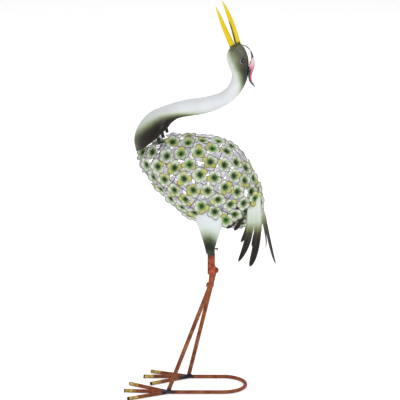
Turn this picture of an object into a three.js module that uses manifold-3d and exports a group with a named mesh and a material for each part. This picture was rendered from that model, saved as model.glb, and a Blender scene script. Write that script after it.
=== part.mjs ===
// Garden heron of painted sheet metal and round bar, welded to its own stand.
// Millimetres, +Z up. The bird faces -X, its left side faces -Y, and it stands on Z = 0.
// X and Y are counted from the middle of the whole statue's footprint.
import * as THREE from 'three';
import { mergeVertices } from 'three/addons/utils/BufferGeometryUtils.js';
import Module from 'manifold-3d';

const wasm = await Module();
wasm.setup();

const point = (x, y, z) => new THREE.Vector3(x, y, z);
const radians = THREE.MathUtils.degToRad;
const TURN = 2 * Math.PI;
const UP = point(0, 0, 1);

// Driving dimensions: stock
const GAP = 0.3; // air kept between two pieces that touch
const SHEET = 1.2; // thickness of the formed sheet
const BAR_RADIUS = 4; // of the stand
const LEG_RADIUS = 4.5;
const BAR_SIDES = 8;
const cornerOf = (radius) => radius / Math.cos(Math.PI / BAR_SIDES);

// Driving dimensions: stand
const RAIL_Y = 50; // the two legs of the U lie at plus and minus this
const BEND_X = 50; // where the half circle of the U starts
const BEND_STEPS = 11;

// Driving dimensions: legs, with the length of each toe and its direction in degrees,
// positive towards the other foot
const LEGS = [
  {
    name: 'left',
    side: -1,
    footX: -69,
    kneeX: 22,
    kneeZ: 248,
    hipX: 24.2,
    toes: {
      middle: { length: 97.2, turn: 6 },
      inner: { length: 102, turn: 33 },
      outer: { length: 97, turn: -25.5 },
    },
  },
  {
    name: 'right',
    side: 1,
    footX: -25,
    kneeX: 33,
    kneeZ: 251,
    hipX: 24.5,
    toes: {
      middle: { length: 100.4, turn: -0.6 },
      inner: { length: 96, turn: 29 },
      outer: { length: 90.8, turn: -22.5 },
    },
  },
];
const LEG_Y = 49;
const KNEE = { radius: 8, height: 15 };
const SLEEVE = { radius: 8, bore: 5.25, bottom: 273, top: 317, sides: 10 };
const THIGH = {
  bottom: 317.3,
  waist: 320, // where the cone starts to widen
  radius: 8.5, // along the bird, up to the waist
  slope: 0.2, // growth of the radius for each millimetre above the waist
  flare: 0.0019, // growth of the slope
  widest: 31,
  top: 416, // no part of the rim is higher
  forward: 2.8, // how far the axis lies ahead of the leg, from the waist up
  flatness: 0.8, // width across the bird against width along it
  lean: 0.08, // how far the cone leans in under the body for each millimetre of height
  seat: 4, // the rim stops this far below the body's surface
  sides: 12,
};
const SCREW = { z: 329, shank: 1.3, head: 2.4, length: 3.4, headLength: 2.8 };

// Driving dimensions: body, an egg whose long axis dips towards the tail
const BODY = {
  centre: point(18, 0, 471.5),
  dip: radians(30.5),
  front: 153, // half lengths towards breast and tail
  tail: 141,
  halfHeight: 91,
  halfWidth: 82,
  fullness: 1.55, // 2 is an ellipse, less is more pointed
  droop: 20, // how far both ends sink below the axis
};
const FLOWER = {
  petals: 5,
  tip: 15, // radius to the ends of the petals
  notch: 7.4, // radius to the notches between them
  spread: 0.25, // half width of a petal's end, in petals
  rise: 2.2, // how far the ends stand above the middle
  depth: 1.9,
  edge: 0.9, // thickness where a petal is welded to another
  spacing: 31.5,
  spreadRounds: 60,
  spreadStep: 0.3,
};
const LINK_REACH = 4; // petals of neighbouring rings closer than this are welded together
// Rings of flowers from breast to tail: place on the axis, count, and angle of the first in degrees
const FLOWER_RINGS = [
  { along: -152, count: 1, first: 0, zigzag: 0 },
  { along: -136, count: 6, first: 21, zigzag: 0 },
  { along: -111, count: 10, first: -17, zigzag: 3 },
  { along: -85, count: 12, first: 3, zigzag: 3 },
  { along: -57, count: 14, first: -6, zigzag: 5 },
  { along: -26, count: 16, first: -10, zigzag: 5 },
  { along: 5, count: 16, first: -7, zigzag: 6 },
  { along: 36, count: 16, first: -8, zigzag: 6 },
  { along: 65, count: 14, first: -9, zigzag: 4 },
  { along: 91, count: 12, first: 12, zigzag: 2 },
  { along: 114, count: 9, first: 32, zigzag: 0 },
  { along: 131, count: 5, first: 0, zigzag: 0 },
];

// Driving dimensions: neck and head, as sections from the collar's mouth to the root of the beak.
// Each section has its point on the throat line, its point on the nape line and its half width.
const NECK_SECTIONS = [
  { throat: [-136, 535.2], nape: [-61, 598], half: 45 },
  { throat: [-139.5, 561], nape: [-57, 601.5], half: 43 },
  { throat: [-130, 590], nape: [-52, 604], half: 36 },
  { throat: [-107, 616], nape: [-46, 607], half: 28 },
  { throat: [-70, 633], nape: [-33, 610], half: 20 },
  { throat: [-30, 645], nape: [-12, 613], half: 16.5 },
  { throat: [12, 651.5], nape: [20, 619.5], half: 15.5 },
  { throat: [47.5, 663], nape: [58, 636.5], half: 15 },
  { throat: [63, 680], nape: [83, 659.5], half: 14.5 },
  { throat: [68, 699], nape: [97.5, 686], half: 15.5 },
  { throat: [62, 719], nape: [102, 711], half: 18 },
  { throat: [57, 738], nape: [101.5, 734], half: 18.5 },
  { throat: [59.5, 751], nape: [95.5, 754], half: 16 },
  { throat: [65, 758.5], nape: [86.5, 767], half: 10 },
];
const NECK = { rings: 24, sides: 12 };
const EYE = { x: 90, z: 734, radius: 3.6, height: 2.2 };

// Driving dimensions: beak, each mandible by its root, its middle and its tip in the XZ plane
const BEAK_UPPER = { root: [80.4, 765.8], middle: [63.5, 820], tip: [46, 860] };
const BEAK_LOWER = { root: [68.7, 761.2], middle: [50.4, 804.5], tip: [33, 848] };
const BEAK = { half: 5.9, halfWidth: 5.2, taper: 2.8, rings: 8, sides: 6 };

// Driving dimensions: crest, a folded feather by its ridge, the depth of the fold and its half width
const CREST = [
  { ridge: [90, 765.5], depth: 1.3, half: 3.5 },
  { ridge: [98.5, 762.5], depth: 1.6, half: 5 },
  { ridge: [106.5, 755], depth: 2.2, half: 6.5 },
  { ridge: [111.5, 745], depth: 3.5, half: 8 },
  { ridge: [115, 733], depth: 7, half: 9.5 },
  { ridge: [116.2, 721], depth: 11.5, half: 10 },
  { ridge: [112.8, 709], depth: 10, half: 9.5 },
  { ridge: [109.6, 698], depth: 7.5, half: 8 },
  { ridge: [110, 688.5], depth: 5.5, half: 6 },
  { ridge: [113.6, 681], depth: 3.6, half: 4 },
  { ridge: [117.4, 674.5], depth: 1.4, half: 1 },
];

// Driving dimensions: plumes. Each hangs from its root and is slit into two fingers.
// The first finger is the one towards the breast, or towards the bird's left on the back plume.
// A finger keeps its width longer the more blunt it is.
const FLANK_PLUME = {
  rootHalf: 13,
  half: 16.5,
  swell: 60,
  slit: 73,
  bend: 2.5, // how late along a finger it sweeps aside and lifts
  fingers: [
    { length: 139.5, sweep: 24.3, lift: 0, blunt: 3 },
    { length: 150, sweep: 17.9, lift: 0, blunt: 5.5 },
  ],
};
const BELLY_PLUME = {
  rootHalf: 5,
  half: 10,
  swell: 14,
  slit: 24,
  bend: 1.6,
  fingers: [
    { length: 46, sweep: 12.7, lift: 3, blunt: 5 },
    { length: 44, sweep: 7.5, lift: 0, blunt: 5 },
  ],
};
const BACK_PLUME = {
  rootHalf: 9,
  half: 15,
  swell: 30,
  slit: 38,
  bend: 6,
  fingers: [
    { length: 95, sweep: 1, lift: 7, blunt: 4 },
    { length: 138, sweep: -2, lift: -3, blunt: 4 },
  ],
};
const FINGER = {
  steps: 5,
  crowding: 1.6, // how much closer the steps lie towards the tip
  half: 0.46, // half width, in half widths of the plume
  splay: 0.06, // how far its middle drifts outwards, in half widths of the plume
  tip: 0.2, // width left at the end
};
const SLOT_WIDENING = 1.05; // room beside a plume where it passes between the petals

const paint = (color, roughness, metalness) =>
  new THREE.MeshStandardMaterial({ color, roughness, metalness });
const PAINT = {
  bar: paint(0x9c4a2c, 0.55, 0.3),
  screw: paint(0x6a2a24, 0.45, 0.5),
  white: paint(0xdfe6df, 0.45, 0.15),
  petal: paint(0xc9d6b4, 0.5, 0.15),
  beak: paint(0xe2c21a, 0.4, 0.1),
  plume: paint(0x6b7060, 0.5, 0.2),
  crest: paint(0xd67f8c, 0.45, 0.1),
  eye: paint(0x101012, 0.2, 0),
};

const group = new THREE.Group();

function addPiece(name, geometry, material) {
  const mesh = new THREE.Mesh(geometry, material);
  mesh.name = name;
  group.add(mesh);
  return mesh;
}

// Geometry from a flat list of triangle corners, turned so that its faces point outwards
function fromCorners(corners) {
  const smallest = 1e-6;
  const kept = [];
  let volume = 0;
  for (let i = 0; i < corners.length; i += 3) {
    const [a, b, c] = corners.slice(i, i + 3);
    const cross = b.clone().sub(a).cross(c.clone().sub(a));
    if (cross.length() > smallest) {
      volume += cross.dot(a);
      kept.push(a, b, c);
    }
  }
  if (volume < 0) {
    for (let i = 0; i < kept.length; i += 3) {
      [kept[i + 1], kept[i + 2]] = [kept[i + 2], kept[i + 1]];
    }
  }
  const geometry = new THREE.BufferGeometry().setFromPoints(kept);
  geometry.computeVertexNormals();
  return geometry;
}

// Skin over a row of rings with equal numbers of points, capped at both ends or joined into a loop
function skin(rings, looped = false) {
  const sides = rings[0].length;
  const corners = [];
  const steps = looped ? rings.length : rings.length - 1;
  for (let i = 0; i < steps; i += 1) {
    const here = rings[i];
    const next = rings[(i + 1) % rings.length];
    for (let j = 0; j < sides; j += 1) {
      const k = (j + 1) % sides;
      corners.push(here[j], here[k], next[k]);
      corners.push(here[j], next[k], next[j]);
    }
  }
  if (!looped) {
    const last = rings[rings.length - 1];
    for (let j = 1; j < sides - 1; j += 1) {
      corners.push(rings[0][0], rings[0][j + 1], rings[0][j]);
      corners.push(last[0], last[j], last[j + 1]);
    }
  }
  return fromCorners(corners);
}

function toSolid(geometry) {
  const bare = geometry.clone();
  bare.deleteAttribute('normal');
  bare.deleteAttribute('uv');
  const merged = mergeVertices(bare, 1e-4);
  return new wasm.Manifold(new wasm.Mesh({
    numProp: 3,
    vertProperties: merged.attributes.position.array,
    triVerts: new Uint32Array(merged.index.array),
  }));
}

function fromSolid(solid) {
  const mesh = solid.getMesh();
  const geometry = new THREE.BufferGeometry();
  geometry.setAttribute('position', new THREE.BufferAttribute(new Float32Array(mesh.vertProperties), 3));
  geometry.setIndex(new THREE.BufferAttribute(new Uint32Array(mesh.triVerts), 1));
  geometry.computeVertexNormals();
  return geometry;
}

// Round bar through a row of points, with mitred corners.
// A cut, where given, is the normal of the plane that the bar starts at.
function bar(points, { radius = BAR_RADIUS, startCut } = {}) {
  const corner = cornerOf(radius);
  const last = points.length - 1;
  const ahead = points.map((p, i) => points[Math.min(i + 1, last)].clone().sub(p).normalize());
  ahead[last].copy(ahead[last - 1]);
  const across = point(0, 1, 0);
  const rings = points.map((p, i) => {
    const along = ahead[i];
    across.addScaledVector(along, -across.dot(along)).normalize();
    const upward = across.clone().cross(along);
    const plane = ahead[Math.max(i - 1, 0)].clone().add(along).normalize();
    if (i === 0 && startCut) plane.copy(startCut);
    return Array.from({ length: BAR_SIDES }, (unused, j) => {
      const angle = ((j + 0.5) / BAR_SIDES) * TURN;
      const offset = across.clone().multiplyScalar(corner * Math.cos(angle));
      offset.addScaledVector(upward, corner * Math.sin(angle));
      offset.addScaledVector(along, -offset.dot(plane) / along.dot(plane));
      return offset.add(p);
    });
  });
  return skin(rings);
}

// Stand: the U with its middle toes, and two side toes at each foot
function addStand() {
  const ground = (x, y) => point(x, y, BAR_RADIUS);
  const toeDirection = (leg, toe) => {
    const angle = radians(leg.toes[toe].turn);
    return point(-Math.cos(angle), -leg.side * Math.sin(angle), 0);
  };
  const middleToe = (leg) => {
    const joint = ground(leg.footX, leg.side * RAIL_Y);
    const end = joint.clone().addScaledVector(toeDirection(leg, 'middle'), leg.toes.middle.length);
    return [end, joint];
  };
  const [left, right] = LEGS;
  const bend = Array.from({ length: BEND_STEPS + 1 }, (unused, i) => {
    const angle = (i / BEND_STEPS - 0.5) * Math.PI;
    return ground(BEND_X + RAIL_Y * Math.cos(angle), RAIL_Y * Math.sin(angle));
  });
  addPiece('base_rod', bar([...middleToe(left), ...bend, ...middleToe(right).reverse()]), PAINT.bar);

  LEGS.forEach((leg) => {
    ['inner', 'outer'].forEach((toe) => {
      const direction = toeDirection(leg, toe);
      const beside = toeDirection(leg, 'middle').cross(UP);
      const joint = ground(leg.footX, leg.side * RAIL_Y);
      const clear = (cornerOf(BAR_RADIUS) + GAP) / Math.abs(direction.dot(beside));
      const start = joint.clone().addScaledVector(direction, clear);
      const end = joint.clone().addScaledVector(direction, leg.toes[toe].length);
      addPiece(`toe_${leg.name}_${toe}`, bar([start, end], { startCut: beside }), PAINT.bar);
    });
  });
}

// Legs: lower rod, knee ball, upper rod, sleeve, set screw
function addLegs() {
  LEGS.forEach((leg) => {
    const y = leg.side * LEG_Y;
    const foot = point(leg.footX, leg.side * RAIL_Y, 2 * BAR_RADIUS + GAP);
    const knee = point(leg.kneeX, y, leg.kneeZ);
    const mouth = point(leg.hipX, y, SLEEVE.bottom);
    const reach = KNEE.radius + GAP;
    const towards = (target) => knee.clone()
      .addScaledVector(target.clone().sub(knee).normalize(), reach);
    const lower = bar([foot, towards(foot)], { radius: LEG_RADIUS, startCut: UP });
    addPiece(`leg_lower_${leg.name}`, lower, PAINT.bar);
    const rodTop = point(leg.hipX, y, SLEEVE.top);
    const upper = bar([towards(mouth), mouth, rodTop], { radius: LEG_RADIUS });
    addPiece(`leg_upper_${leg.name}`, upper, PAINT.bar);

    const ball = new THREE.SphereGeometry(KNEE.radius, 10, 6);
    ball.rotateX(Math.PI / 2);
    ball.scale(1, 1, KNEE.height / (2 * KNEE.radius));
    addPiece(`knee_${leg.name}`, ball, PAINT.bar).position.copy(knee);

    const wall = [
      [SLEEVE.bore, SLEEVE.bottom],
      [SLEEVE.radius, SLEEVE.bottom],
      [SLEEVE.radius, SLEEVE.top],
      [SLEEVE.bore, SLEEVE.top],
      [SLEEVE.bore, SLEEVE.bottom],
    ].map(([radius, z]) => new THREE.Vector2(radius, z));
    const sleeve = new THREE.LatheGeometry(wall, SLEEVE.sides);
    sleeve.rotateX(Math.PI / 2);
    addPiece(`sleeve_${leg.name}`, sleeve, PAINT.bar).position.set(leg.hipX, y, 0);

    const screwOutline = [
      [0, 0],
      [SCREW.shank, 0],
      [SCREW.shank, SCREW.length],
      [SCREW.head, SCREW.length],
      [SCREW.head, SCREW.length + SCREW.headLength],
      [0, SCREW.length + SCREW.headLength],
    ].map(([radius, z]) => new THREE.Vector2(radius, z));
    const screw = new THREE.LatheGeometry(screwOutline, 6);
    screw.rotateZ(-Math.PI / 2);
    const coneEdge = thighAxis(leg, SCREW.z) + thighRadius(SCREW.z + SCREW.shank) + 2 * GAP;
    const lean = THIGH.lean * (SCREW.z - THIGH.bottom);
    addPiece(`screw_${leg.name}`, screw, PAINT.screw).position.set(coneEdge, y - leg.side * lean, SCREW.z);
  });
}

function thighRadius(z) {
  const above = Math.max(z - THIGH.waist, 0);
  return Math.min(THIGH.widest, THIGH.radius + THIGH.slope * above + THIGH.flare * above ** 2);
}

function thighAxis(leg, z) {
  return leg.hipX - THIGH.forward * Math.min(1, (z - THIGH.bottom) / (THIGH.waist - THIGH.bottom));
}

// Body surface: a point on the egg from its place along the axis and its angle round it.
// Angle 0 is the bird's left side and a quarter turn is its back.
const BODY_ALONG = point(Math.cos(BODY.dip), 0, -Math.sin(BODY.dip));
const BODY_UP = point(Math.sin(BODY.dip), 0, Math.cos(BODY.dip));
const BODY_LEFT = point(0, -1, 0);

const bodyPart = (along) => along / (along < 0 ? BODY.front : BODY.tail);
const bodyGirth = (part) => (1 - Math.abs(part) ** BODY.fullness) ** (1 / BODY.fullness);

function bodyPoint(along, angle) {
  const part = bodyPart(along);
  const girth = bodyGirth(part);
  return BODY.centre.clone()
    .addScaledVector(BODY_ALONG, along)
    .addScaledVector(BODY_UP, BODY.halfHeight * girth * Math.sin(angle) - BODY.droop * part * part)
    .addScaledVector(BODY_LEFT, BODY.halfWidth * girth * Math.cos(angle));
}

// True where a point is at least some distance outside the egg
function outsideBody(place, distance) {
  const offset = place.clone().sub(BODY.centre);
  const part = bodyPart(offset.dot(BODY_ALONG));
  if (Math.abs(part) >= 1) return true;
  const girth = bodyGirth(part);
  const upward = (offset.dot(BODY_UP) + BODY.droop * part * part) / (BODY.halfHeight * girth + distance);
  const sideways = offset.dot(BODY_LEFT) / (BODY.halfWidth * girth + distance);
  return Math.hypot(upward, sideways) >= 1;
}

// How the body's surface runs at a place: towards the tail, and round the egg
function bodySlopes({ along, angle }) {
  const step = 0.01;
  const tailward = bodyPoint(along + step, angle).sub(bodyPoint(along - step, angle));
  const round = bodyPoint(along, angle + step).sub(bodyPoint(along, angle - step));
  return { tailward: tailward.divideScalar(2 * step), round: round.divideScalar(2 * step) };
}

// Flowers start in even rings, and then those that stand too close push each other apart
function flowerPlaces() {
  const rings = FLOWER_RINGS.map((ring) => Array.from({ length: ring.count }, (unused, i) => ({
    along: ring.along + (i % 2 ? -ring.zigzag : ring.zigzag),
    angle: radians(ring.first + (360 * i) / ring.count),
    fixed: ring.count === 1,
  })));
  const places = rings.flat();
  for (let round = 0; round < FLOWER.spreadRounds; round += 1) {
    const centres = places.map(({ along, angle }) => bodyPoint(along, angle));
    places.filter((place) => !place.fixed).forEach((place) => {
      const here = bodyPoint(place.along, place.angle);
      const push = point(0, 0, 0);
      centres.forEach((centre) => {
        const away = here.clone().sub(centre);
        const distance = away.length();
        if (distance > 0 && distance < FLOWER.spacing) {
          push.addScaledVector(away, FLOWER.spreadStep * (FLOWER.spacing / distance - 1));
        }
      });
      const slopes = bodySlopes(place);
      place.along += push.dot(slopes.tailward) / slopes.tailward.lengthSq();
      place.angle += push.dot(slopes.round) / slopes.round.lengthSq();
    });
  }
  return rings;
}

// One flower: its centre, its two faces and its petals' corners.
// A petal points between the flower's two neighbours in the ring, so that two others meet theirs.
function makeFlower(ring, i) {
  const place = ring[i];
  const centre = bodyPoint(place.along, place.angle);
  const slopes = bodySlopes(place);
  const tailward = slopes.tailward.normalize();
  const normal = tailward.clone().cross(slopes.round).normalize();
  if (normal.dot(centre.clone().sub(BODY.centre)) < 0) normal.negate();
  const across = tailward.clone().cross(normal);
  const aim = [1, ring.length - 1].reduce((sum, shift) => {
    const other = ring[(i + shift) % ring.length];
    return sum.add(bodyPoint(other.along, other.angle).sub(centre).normalize());
  }, point(0, 0, 0));
  const spin = Math.atan2(aim.dot(tailward), aim.dot(across));

  const at = (radius, turn, height) => centre.clone()
    .addScaledVector(across, radius * Math.cos(turn))
    .addScaledVector(tailward, radius * Math.sin(turn))
    .addScaledVector(normal, height);
  const petalTurn = TURN / FLOWER.petals;
  const petals = Array.from({ length: FLOWER.petals }, (unused, k) => {
    const middle = spin + k * petalTurn;
    const corner = (side, height) => at(FLOWER.tip, middle + side * FLOWER.spread * petalTurn, height);
    return {
      linked: false,
      end: at(FLOWER.tip, middle, FLOWER.rise),
      notch: at(FLOWER.notch, middle - petalTurn / 2, FLOWER.rise / 3),
      first: { top: corner(-1, FLOWER.rise), bottom: corner(-1, FLOWER.rise - FLOWER.edge) },
      last: { top: corner(1, FLOWER.rise), bottom: corner(1, FLOWER.rise - FLOWER.edge) },
    };
  });
  return { centre, petals, top: at(0, 0, 0), bottom: at(0, 0, -FLOWER.depth) };
}

// Weld between two petals: a short strap from the end of one to the end of the other
function linkPetals(one, other, corners) {
  const quad = (a, b, c, d) => corners.push(a, b, c, a, c, d);
  quad(one.last.top, one.first.top, other.last.top, other.first.top);
  quad(one.first.bottom, one.last.bottom, other.first.bottom, other.last.bottom);
  quad(one.last.bottom, one.last.top, other.first.top, other.first.bottom);
  quad(one.first.top, one.first.bottom, other.last.bottom, other.last.top);
  one.linked = true;
  other.linked = true;
}

function nearestPetals(one, other) {
  let best = { distance: Infinity };
  one.petals.filter((p) => !p.linked).forEach((p) => {
    other.petals.filter((q) => !q.linked).forEach((q) => {
      const distance = p.end.distanceTo(q.end);
      if (distance < best.distance) best = { distance, pair: [p, q] };
    });
  });
  return best;
}

// A thin cupped star. A petal that is welded to another keeps a blunt end, the rest run out thin.
function addFlowerFaces({ petals, top, bottom }, corners) {
  petals.forEach((petal, k) => {
    const { notch, first, last } = petal;
    const nextNotch = petals[(k + 1) % petals.length].notch;
    const firstLow = petal.linked ? first.bottom : first.top;
    const lastLow = petal.linked ? last.bottom : last.top;
    corners.push(top, notch, first.top);
    corners.push(top, first.top, last.top);
    corners.push(top, last.top, nextNotch);
    corners.push(bottom, firstLow, notch);
    corners.push(bottom, lastLow, firstLow);
    corners.push(bottom, nextNotch, lastLow);
    if (petal.linked) {
      corners.push(first.top, notch, first.bottom);
      corners.push(last.bottom, nextNotch, last.top);
    }
  });
}

function flowerShell() {
  const rings = flowerPlaces().map((ring) => ring.map((place, i) => makeFlower(ring, i)));
  const corners = [];
  rings.forEach((ring) => {
    for (let i = 0; i < ring.length && ring.length > 1; i += 1) {
      const { pair } = nearestPetals(ring[i], ring[(i + 1) % ring.length]);
      linkPetals(...pair, corners);
    }
  });
  for (let r = 1; r < rings.length; r += 1) {
    const links = rings[r].flatMap((flower) => rings[r - 1].map((other) => [flower, other]));
    const measured = links.map((flowers) => ({ flowers, ...nearestPetals(...flowers) }));
    measured.sort((a, b) => a.distance - b.distance);
    measured.forEach(({ flowers }, index) => {
      const { distance, pair } = nearestPetals(...flowers);
      if (pair && (distance < LINK_REACH || index === 0)) linkPetals(...pair, corners);
    });
  }
  rings.flat().forEach((flower) => addFlowerFaces(flower, corners));
  return fromCorners(corners);
}

// Thighs: hollow sheet cones that end just under the flowers
function addThighs() {
  LEGS.forEach((leg) => {
    const wall = (inset) => {
      const rows = [[], [], [], []];
      for (let i = 0; i < THIGH.sides; i += 1) {
        const angle = (i / THIGH.sides) * TURN;
        const at = (z) => {
          const radius = thighRadius(z) - inset;
          const flat = THREE.MathUtils.lerp(1, THIGH.flatness, Math.min(1, (z - THIGH.bottom) / 60));
          const y = leg.side * (LEG_Y - THIGH.lean * (z - THIGH.bottom));
          return point(thighAxis(leg, z) + radius * Math.cos(angle), y + radius * flat * Math.sin(angle), z);
        };
        let rim = THIGH.bottom;
        while (rim < THIGH.top && outsideBody(at(rim + 1), THIGH.seat)) rim += 1;
        const heights = [THIGH.bottom, THIGH.waist, (THIGH.waist + rim) / 2, rim];
        heights.forEach((z, row) => rows[row].push(at(z)));
      }
      return rows;
    };
    const rings = [...wall(0), ...wall(SHEET).reverse()];
    addPiece(`thigh_${leg.name}`, skin(rings, true), PAINT.white);
  });
}

// Neck and head: a tube between the throat line and the nape line, open at the collar
const inPlane = ([x, z]) => point(x, 0, z);
const throatLine = new THREE.CatmullRomCurve3(NECK_SECTIONS.map((s) => inPlane(s.throat)));
const napeLine = new THREE.CatmullRomCurve3(NECK_SECTIONS.map((s) => inPlane(s.nape)));
const widthLine = new THREE.CatmullRomCurve3(NECK_SECTIONS.map((s, i) => point(i, s.half, 0)));

function neckRing(part, inset) {
  const throat = throatLine.getPoint(part);
  const nape = napeLine.getPoint(part);
  const centre = throat.clone().lerp(nape, 0.5);
  const deep = nape.clone().sub(centre);
  deep.setLength(deep.length() - inset);
  const half = widthLine.getPoint(part).y - inset;
  return Array.from({ length: NECK.sides }, (unused, j) => {
    const angle = ((j + 0.5) / NECK.sides) * TURN;
    return centre.clone().addScaledVector(deep, Math.cos(angle)).add(point(0, half * Math.sin(angle), 0));
  });
}

function neckAndHead() {
  const parts = Array.from({ length: NECK.rings }, (unused, i) => i / (NECK.rings - 1));
  const outside = parts.map((part) => neckRing(part, 0)).reverse();
  const inside = parts.slice(0, -1).map((part) => neckRing(part, SHEET));
  return skin([...outside, ...inside]);
}

// Eyes: small domes set on the cheeks
function addEyes(head) {
  const outline = [[0, 0], [1, 0], [0.75, 0.7], [0, 1]]
    .map(([across, up]) => new THREE.Vector2(EYE.radius * across, EYE.height * up));
  LEGS.forEach(({ name, side }) => {
    const from = point(EYE.x, side * 100, EYE.z);
    const ray = new THREE.Raycaster(from, point(0, -side, 0));
    const [hit] = ray.intersectObject(head);
    const eye = new THREE.LatheGeometry(outline, 8);
    const mesh = addPiece(`eye_${name}`, eye, PAINT.eye);
    mesh.quaternion.setFromUnitVectors(point(0, 1, 0), hit.face.normal);
    mesh.position.copy(hit.point).addScaledVector(hit.face.normal, GAP);
  });
}

function mandible({ root, middle, tip }) {
  const [start, mid, end] = [root, middle, tip].map(inPlane);
  const pull = mid.clone().multiplyScalar(2).addScaledVector(start.clone().add(end), -0.5);
  const curve = new THREE.QuadraticBezierCurve3(start, pull, end);
  const throat = throatLine.getPoint(1);
  const face = napeLine.getPoint(1).sub(throat).cross(point(0, 1, 0)).normalize();
  const clear = start.clone().sub(throat).dot(face);
  const rings = Array.from({ length: BEAK.rings }, (unused, i) => {
    const part = i / (BEAK.rings - 1);
    const along = curve.getTangent(part);
    const deep = point(0, 1, 0).cross(along);
    const size = 1 - 0.93 * part ** BEAK.taper;
    return Array.from({ length: BEAK.sides }, (alsoUnused, j) => {
      const angle = (j / BEAK.sides) * TURN;
      const corner = curve.getPoint(part)
        .addScaledVector(deep, BEAK.half * size * Math.cos(angle))
        .add(point(0, BEAK.halfWidth * size * Math.sin(angle), 0));
      if (i > 0) return corner;
      const height = corner.clone().sub(throat).dot(face) - Math.sign(clear) * GAP;
      return corner.addScaledVector(along, -height / along.dot(face));
    });
  });
  return skin(rings);
}

function crest() {
  const ridges = CREST.map((s) => inPlane(s.ridge));
  const rings = CREST.map(({ depth, half }, i) => {
    const ahead = ridges[Math.min(i + 1, ridges.length - 1)].clone().sub(ridges[Math.max(i - 1, 0)]);
    const inward = point(0, 1, 0).cross(ahead).normalize();
    const slant = Math.hypot(depth, half);
    const thick = Math.min(SHEET * slant / half, depth * 0.8);
    const at = (y, deep) => ridges[i].clone().addScaledVector(inward, deep).add(point(0, y, 0));
    return [
      at(0, 0),
      at(half, depth),
      at(half - Math.min(SHEET, half * 0.6), depth),
      at(0, thick),
      at(Math.min(SHEET, half * 0.6) - half, depth),
      at(-half, depth),
    ];
  });
  return skin(rings);
}

// Plume in its own frame: length along s, width along w, lift off the sheet.
// The outline runs down one edge of each finger and up the other.
function plume({ spec, root, lengthwise, across, thickness = SHEET, widen = 1 }) {
  const { rootHalf, half, swell, slit, bend, fingers } = spec;
  const normal = across.clone().cross(lengthwise).normalize();
  const bow = (s, finger) => {
    const part = Math.max(0, s - slit / 2) / (finger.length - slit / 2);
    return { sweep: finger.sweep * part ** bend, lift: finger.lift * part ** bend };
  };
  const at = (s, w, finger) => {
    const { sweep, lift } = bow(s, finger);
    return { s, w: w - sweep, lift };
  };
  const edge = (s) => THREE.MathUtils.lerp(rootHalf, half, Math.min(1, s / swell) ** 0.8);
  const outline = [];
  const [first, last] = fingers;
  const fingerRow = (finger, sign) => Array.from({ length: FINGER.steps + 1 }, (unused, i) => {
    const part = 1 - (1 - i / FINGER.steps) ** FINGER.crowding;
    const s = THREE.MathUtils.lerp(slit, finger.length, part);
    const narrow = Math.sqrt(Math.max(1 - part ** finger.blunt, FINGER.tip ** 2));
    const middle = sign * half * (0.5 + FINGER.splay * part);
    const reach = sign * half * FINGER.half * narrow;
    return { s, outer: middle + reach, inner: middle - reach };
  });
  const firstRow = fingerRow(first, -1);
  const lastRow = fingerRow(last, 1);
  outline.push(at(0, -rootHalf, first), at(swell / 2, -edge(swell / 2), first));
  firstRow.forEach((row) => outline.push(at(row.s, row.outer, first)));
  firstRow.slice(1).reverse().forEach((row) => outline.push(at(row.s, row.inner, first)));
  outline.push(at(slit, 0, { ...last, sweep: (first.sweep + last.sweep) / 2, lift: 0 }));
  lastRow.slice(1).forEach((row) => outline.push(at(row.s, row.inner, last)));
  lastRow.slice().reverse().forEach((row) => outline.push(at(row.s, row.outer, last)));
  outline.push(at(swell / 2, edge(swell / 2), last), at(0, rootHalf, last));

  const place = ({ s, w, lift }, height) => root.clone()
    .addScaledVector(lengthwise, s)
    .addScaledVector(across, w * widen)
    .addScaledVector(normal, lift + height);
  const faces = THREE.ShapeUtils.triangulateShape(outline.map(({ s, w }) => new THREE.Vector2(s, w)), []);
  const corners = [];
  faces.forEach(([a, b, c]) => {
    corners.push(...[a, b, c].map((i) => place(outline[i], thickness / 2)));
    corners.push(...[a, c, b].map((i) => place(outline[i], -thickness / 2)));
  });
  outline.forEach((here, i) => {
    const next = outline[(i + 1) % outline.length];
    const [a, b] = [place(here, thickness / 2), place(next, thickness / 2)];
    const [c, d] = [place(next, -thickness / 2), place(here, -thickness / 2)];
    corners.push(a, d, c, a, c, b);
  });
  return fromCorners(corners);
}

// Where each plume hangs: root, direction of its length and direction of its width
const PLUMES = LEGS.flatMap(({ name, side }) => [
  {
    name: `plume_flank_${name}`,
    spec: FLANK_PLUME,
    root: point(side > 0 ? 121 : 116, side * 37, 443),
    lengthwise: point(side > 0 ? 0.02 : 0, side * 0.26, -1).normalize(),
    across: point(1, 0, 0),
  },
  {
    name: `plume_belly_${name}`,
    spec: BELLY_PLUME,
    root: point(90, side * 40, 410),
    lengthwise: point(-0.33, side * 0.15, -0.93).normalize(),
    across: point(0.93, 0, -0.33).normalize(),
  },
]).concat({
  name: 'plume_back',
  spec: BACK_PLUME,
  root: point(131, 0, 412),
  lengthwise: point(0.2, 0, -0.98).normalize(),
  across: point(0.28, 0.96, 0.057).normalize(),
});

function addPlumes() {
  PLUMES.forEach(({ name, ...shape }) => addPiece(name, plume(shape), PAINT.plume));
}

// The shell of flowers, cut back where the plumes pass between the petals
function shellAroundPlumes() {
  const slots = PLUMES.map((shape) => {
    const root = shape.root.clone().addScaledVector(shape.lengthwise, -GAP);
    return toSolid(plume({ ...shape, root, thickness: SHEET + 3 * GAP, widen: SLOT_WIDENING })).hull();
  });
  const cut = toSolid(flowerShell()).subtract(wasm.Manifold.union(slots));
  const pieces = cut.decompose().sort((a, b) => b.volume() - a.volume());
  return fromSolid(pieces[0]);
}

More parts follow.
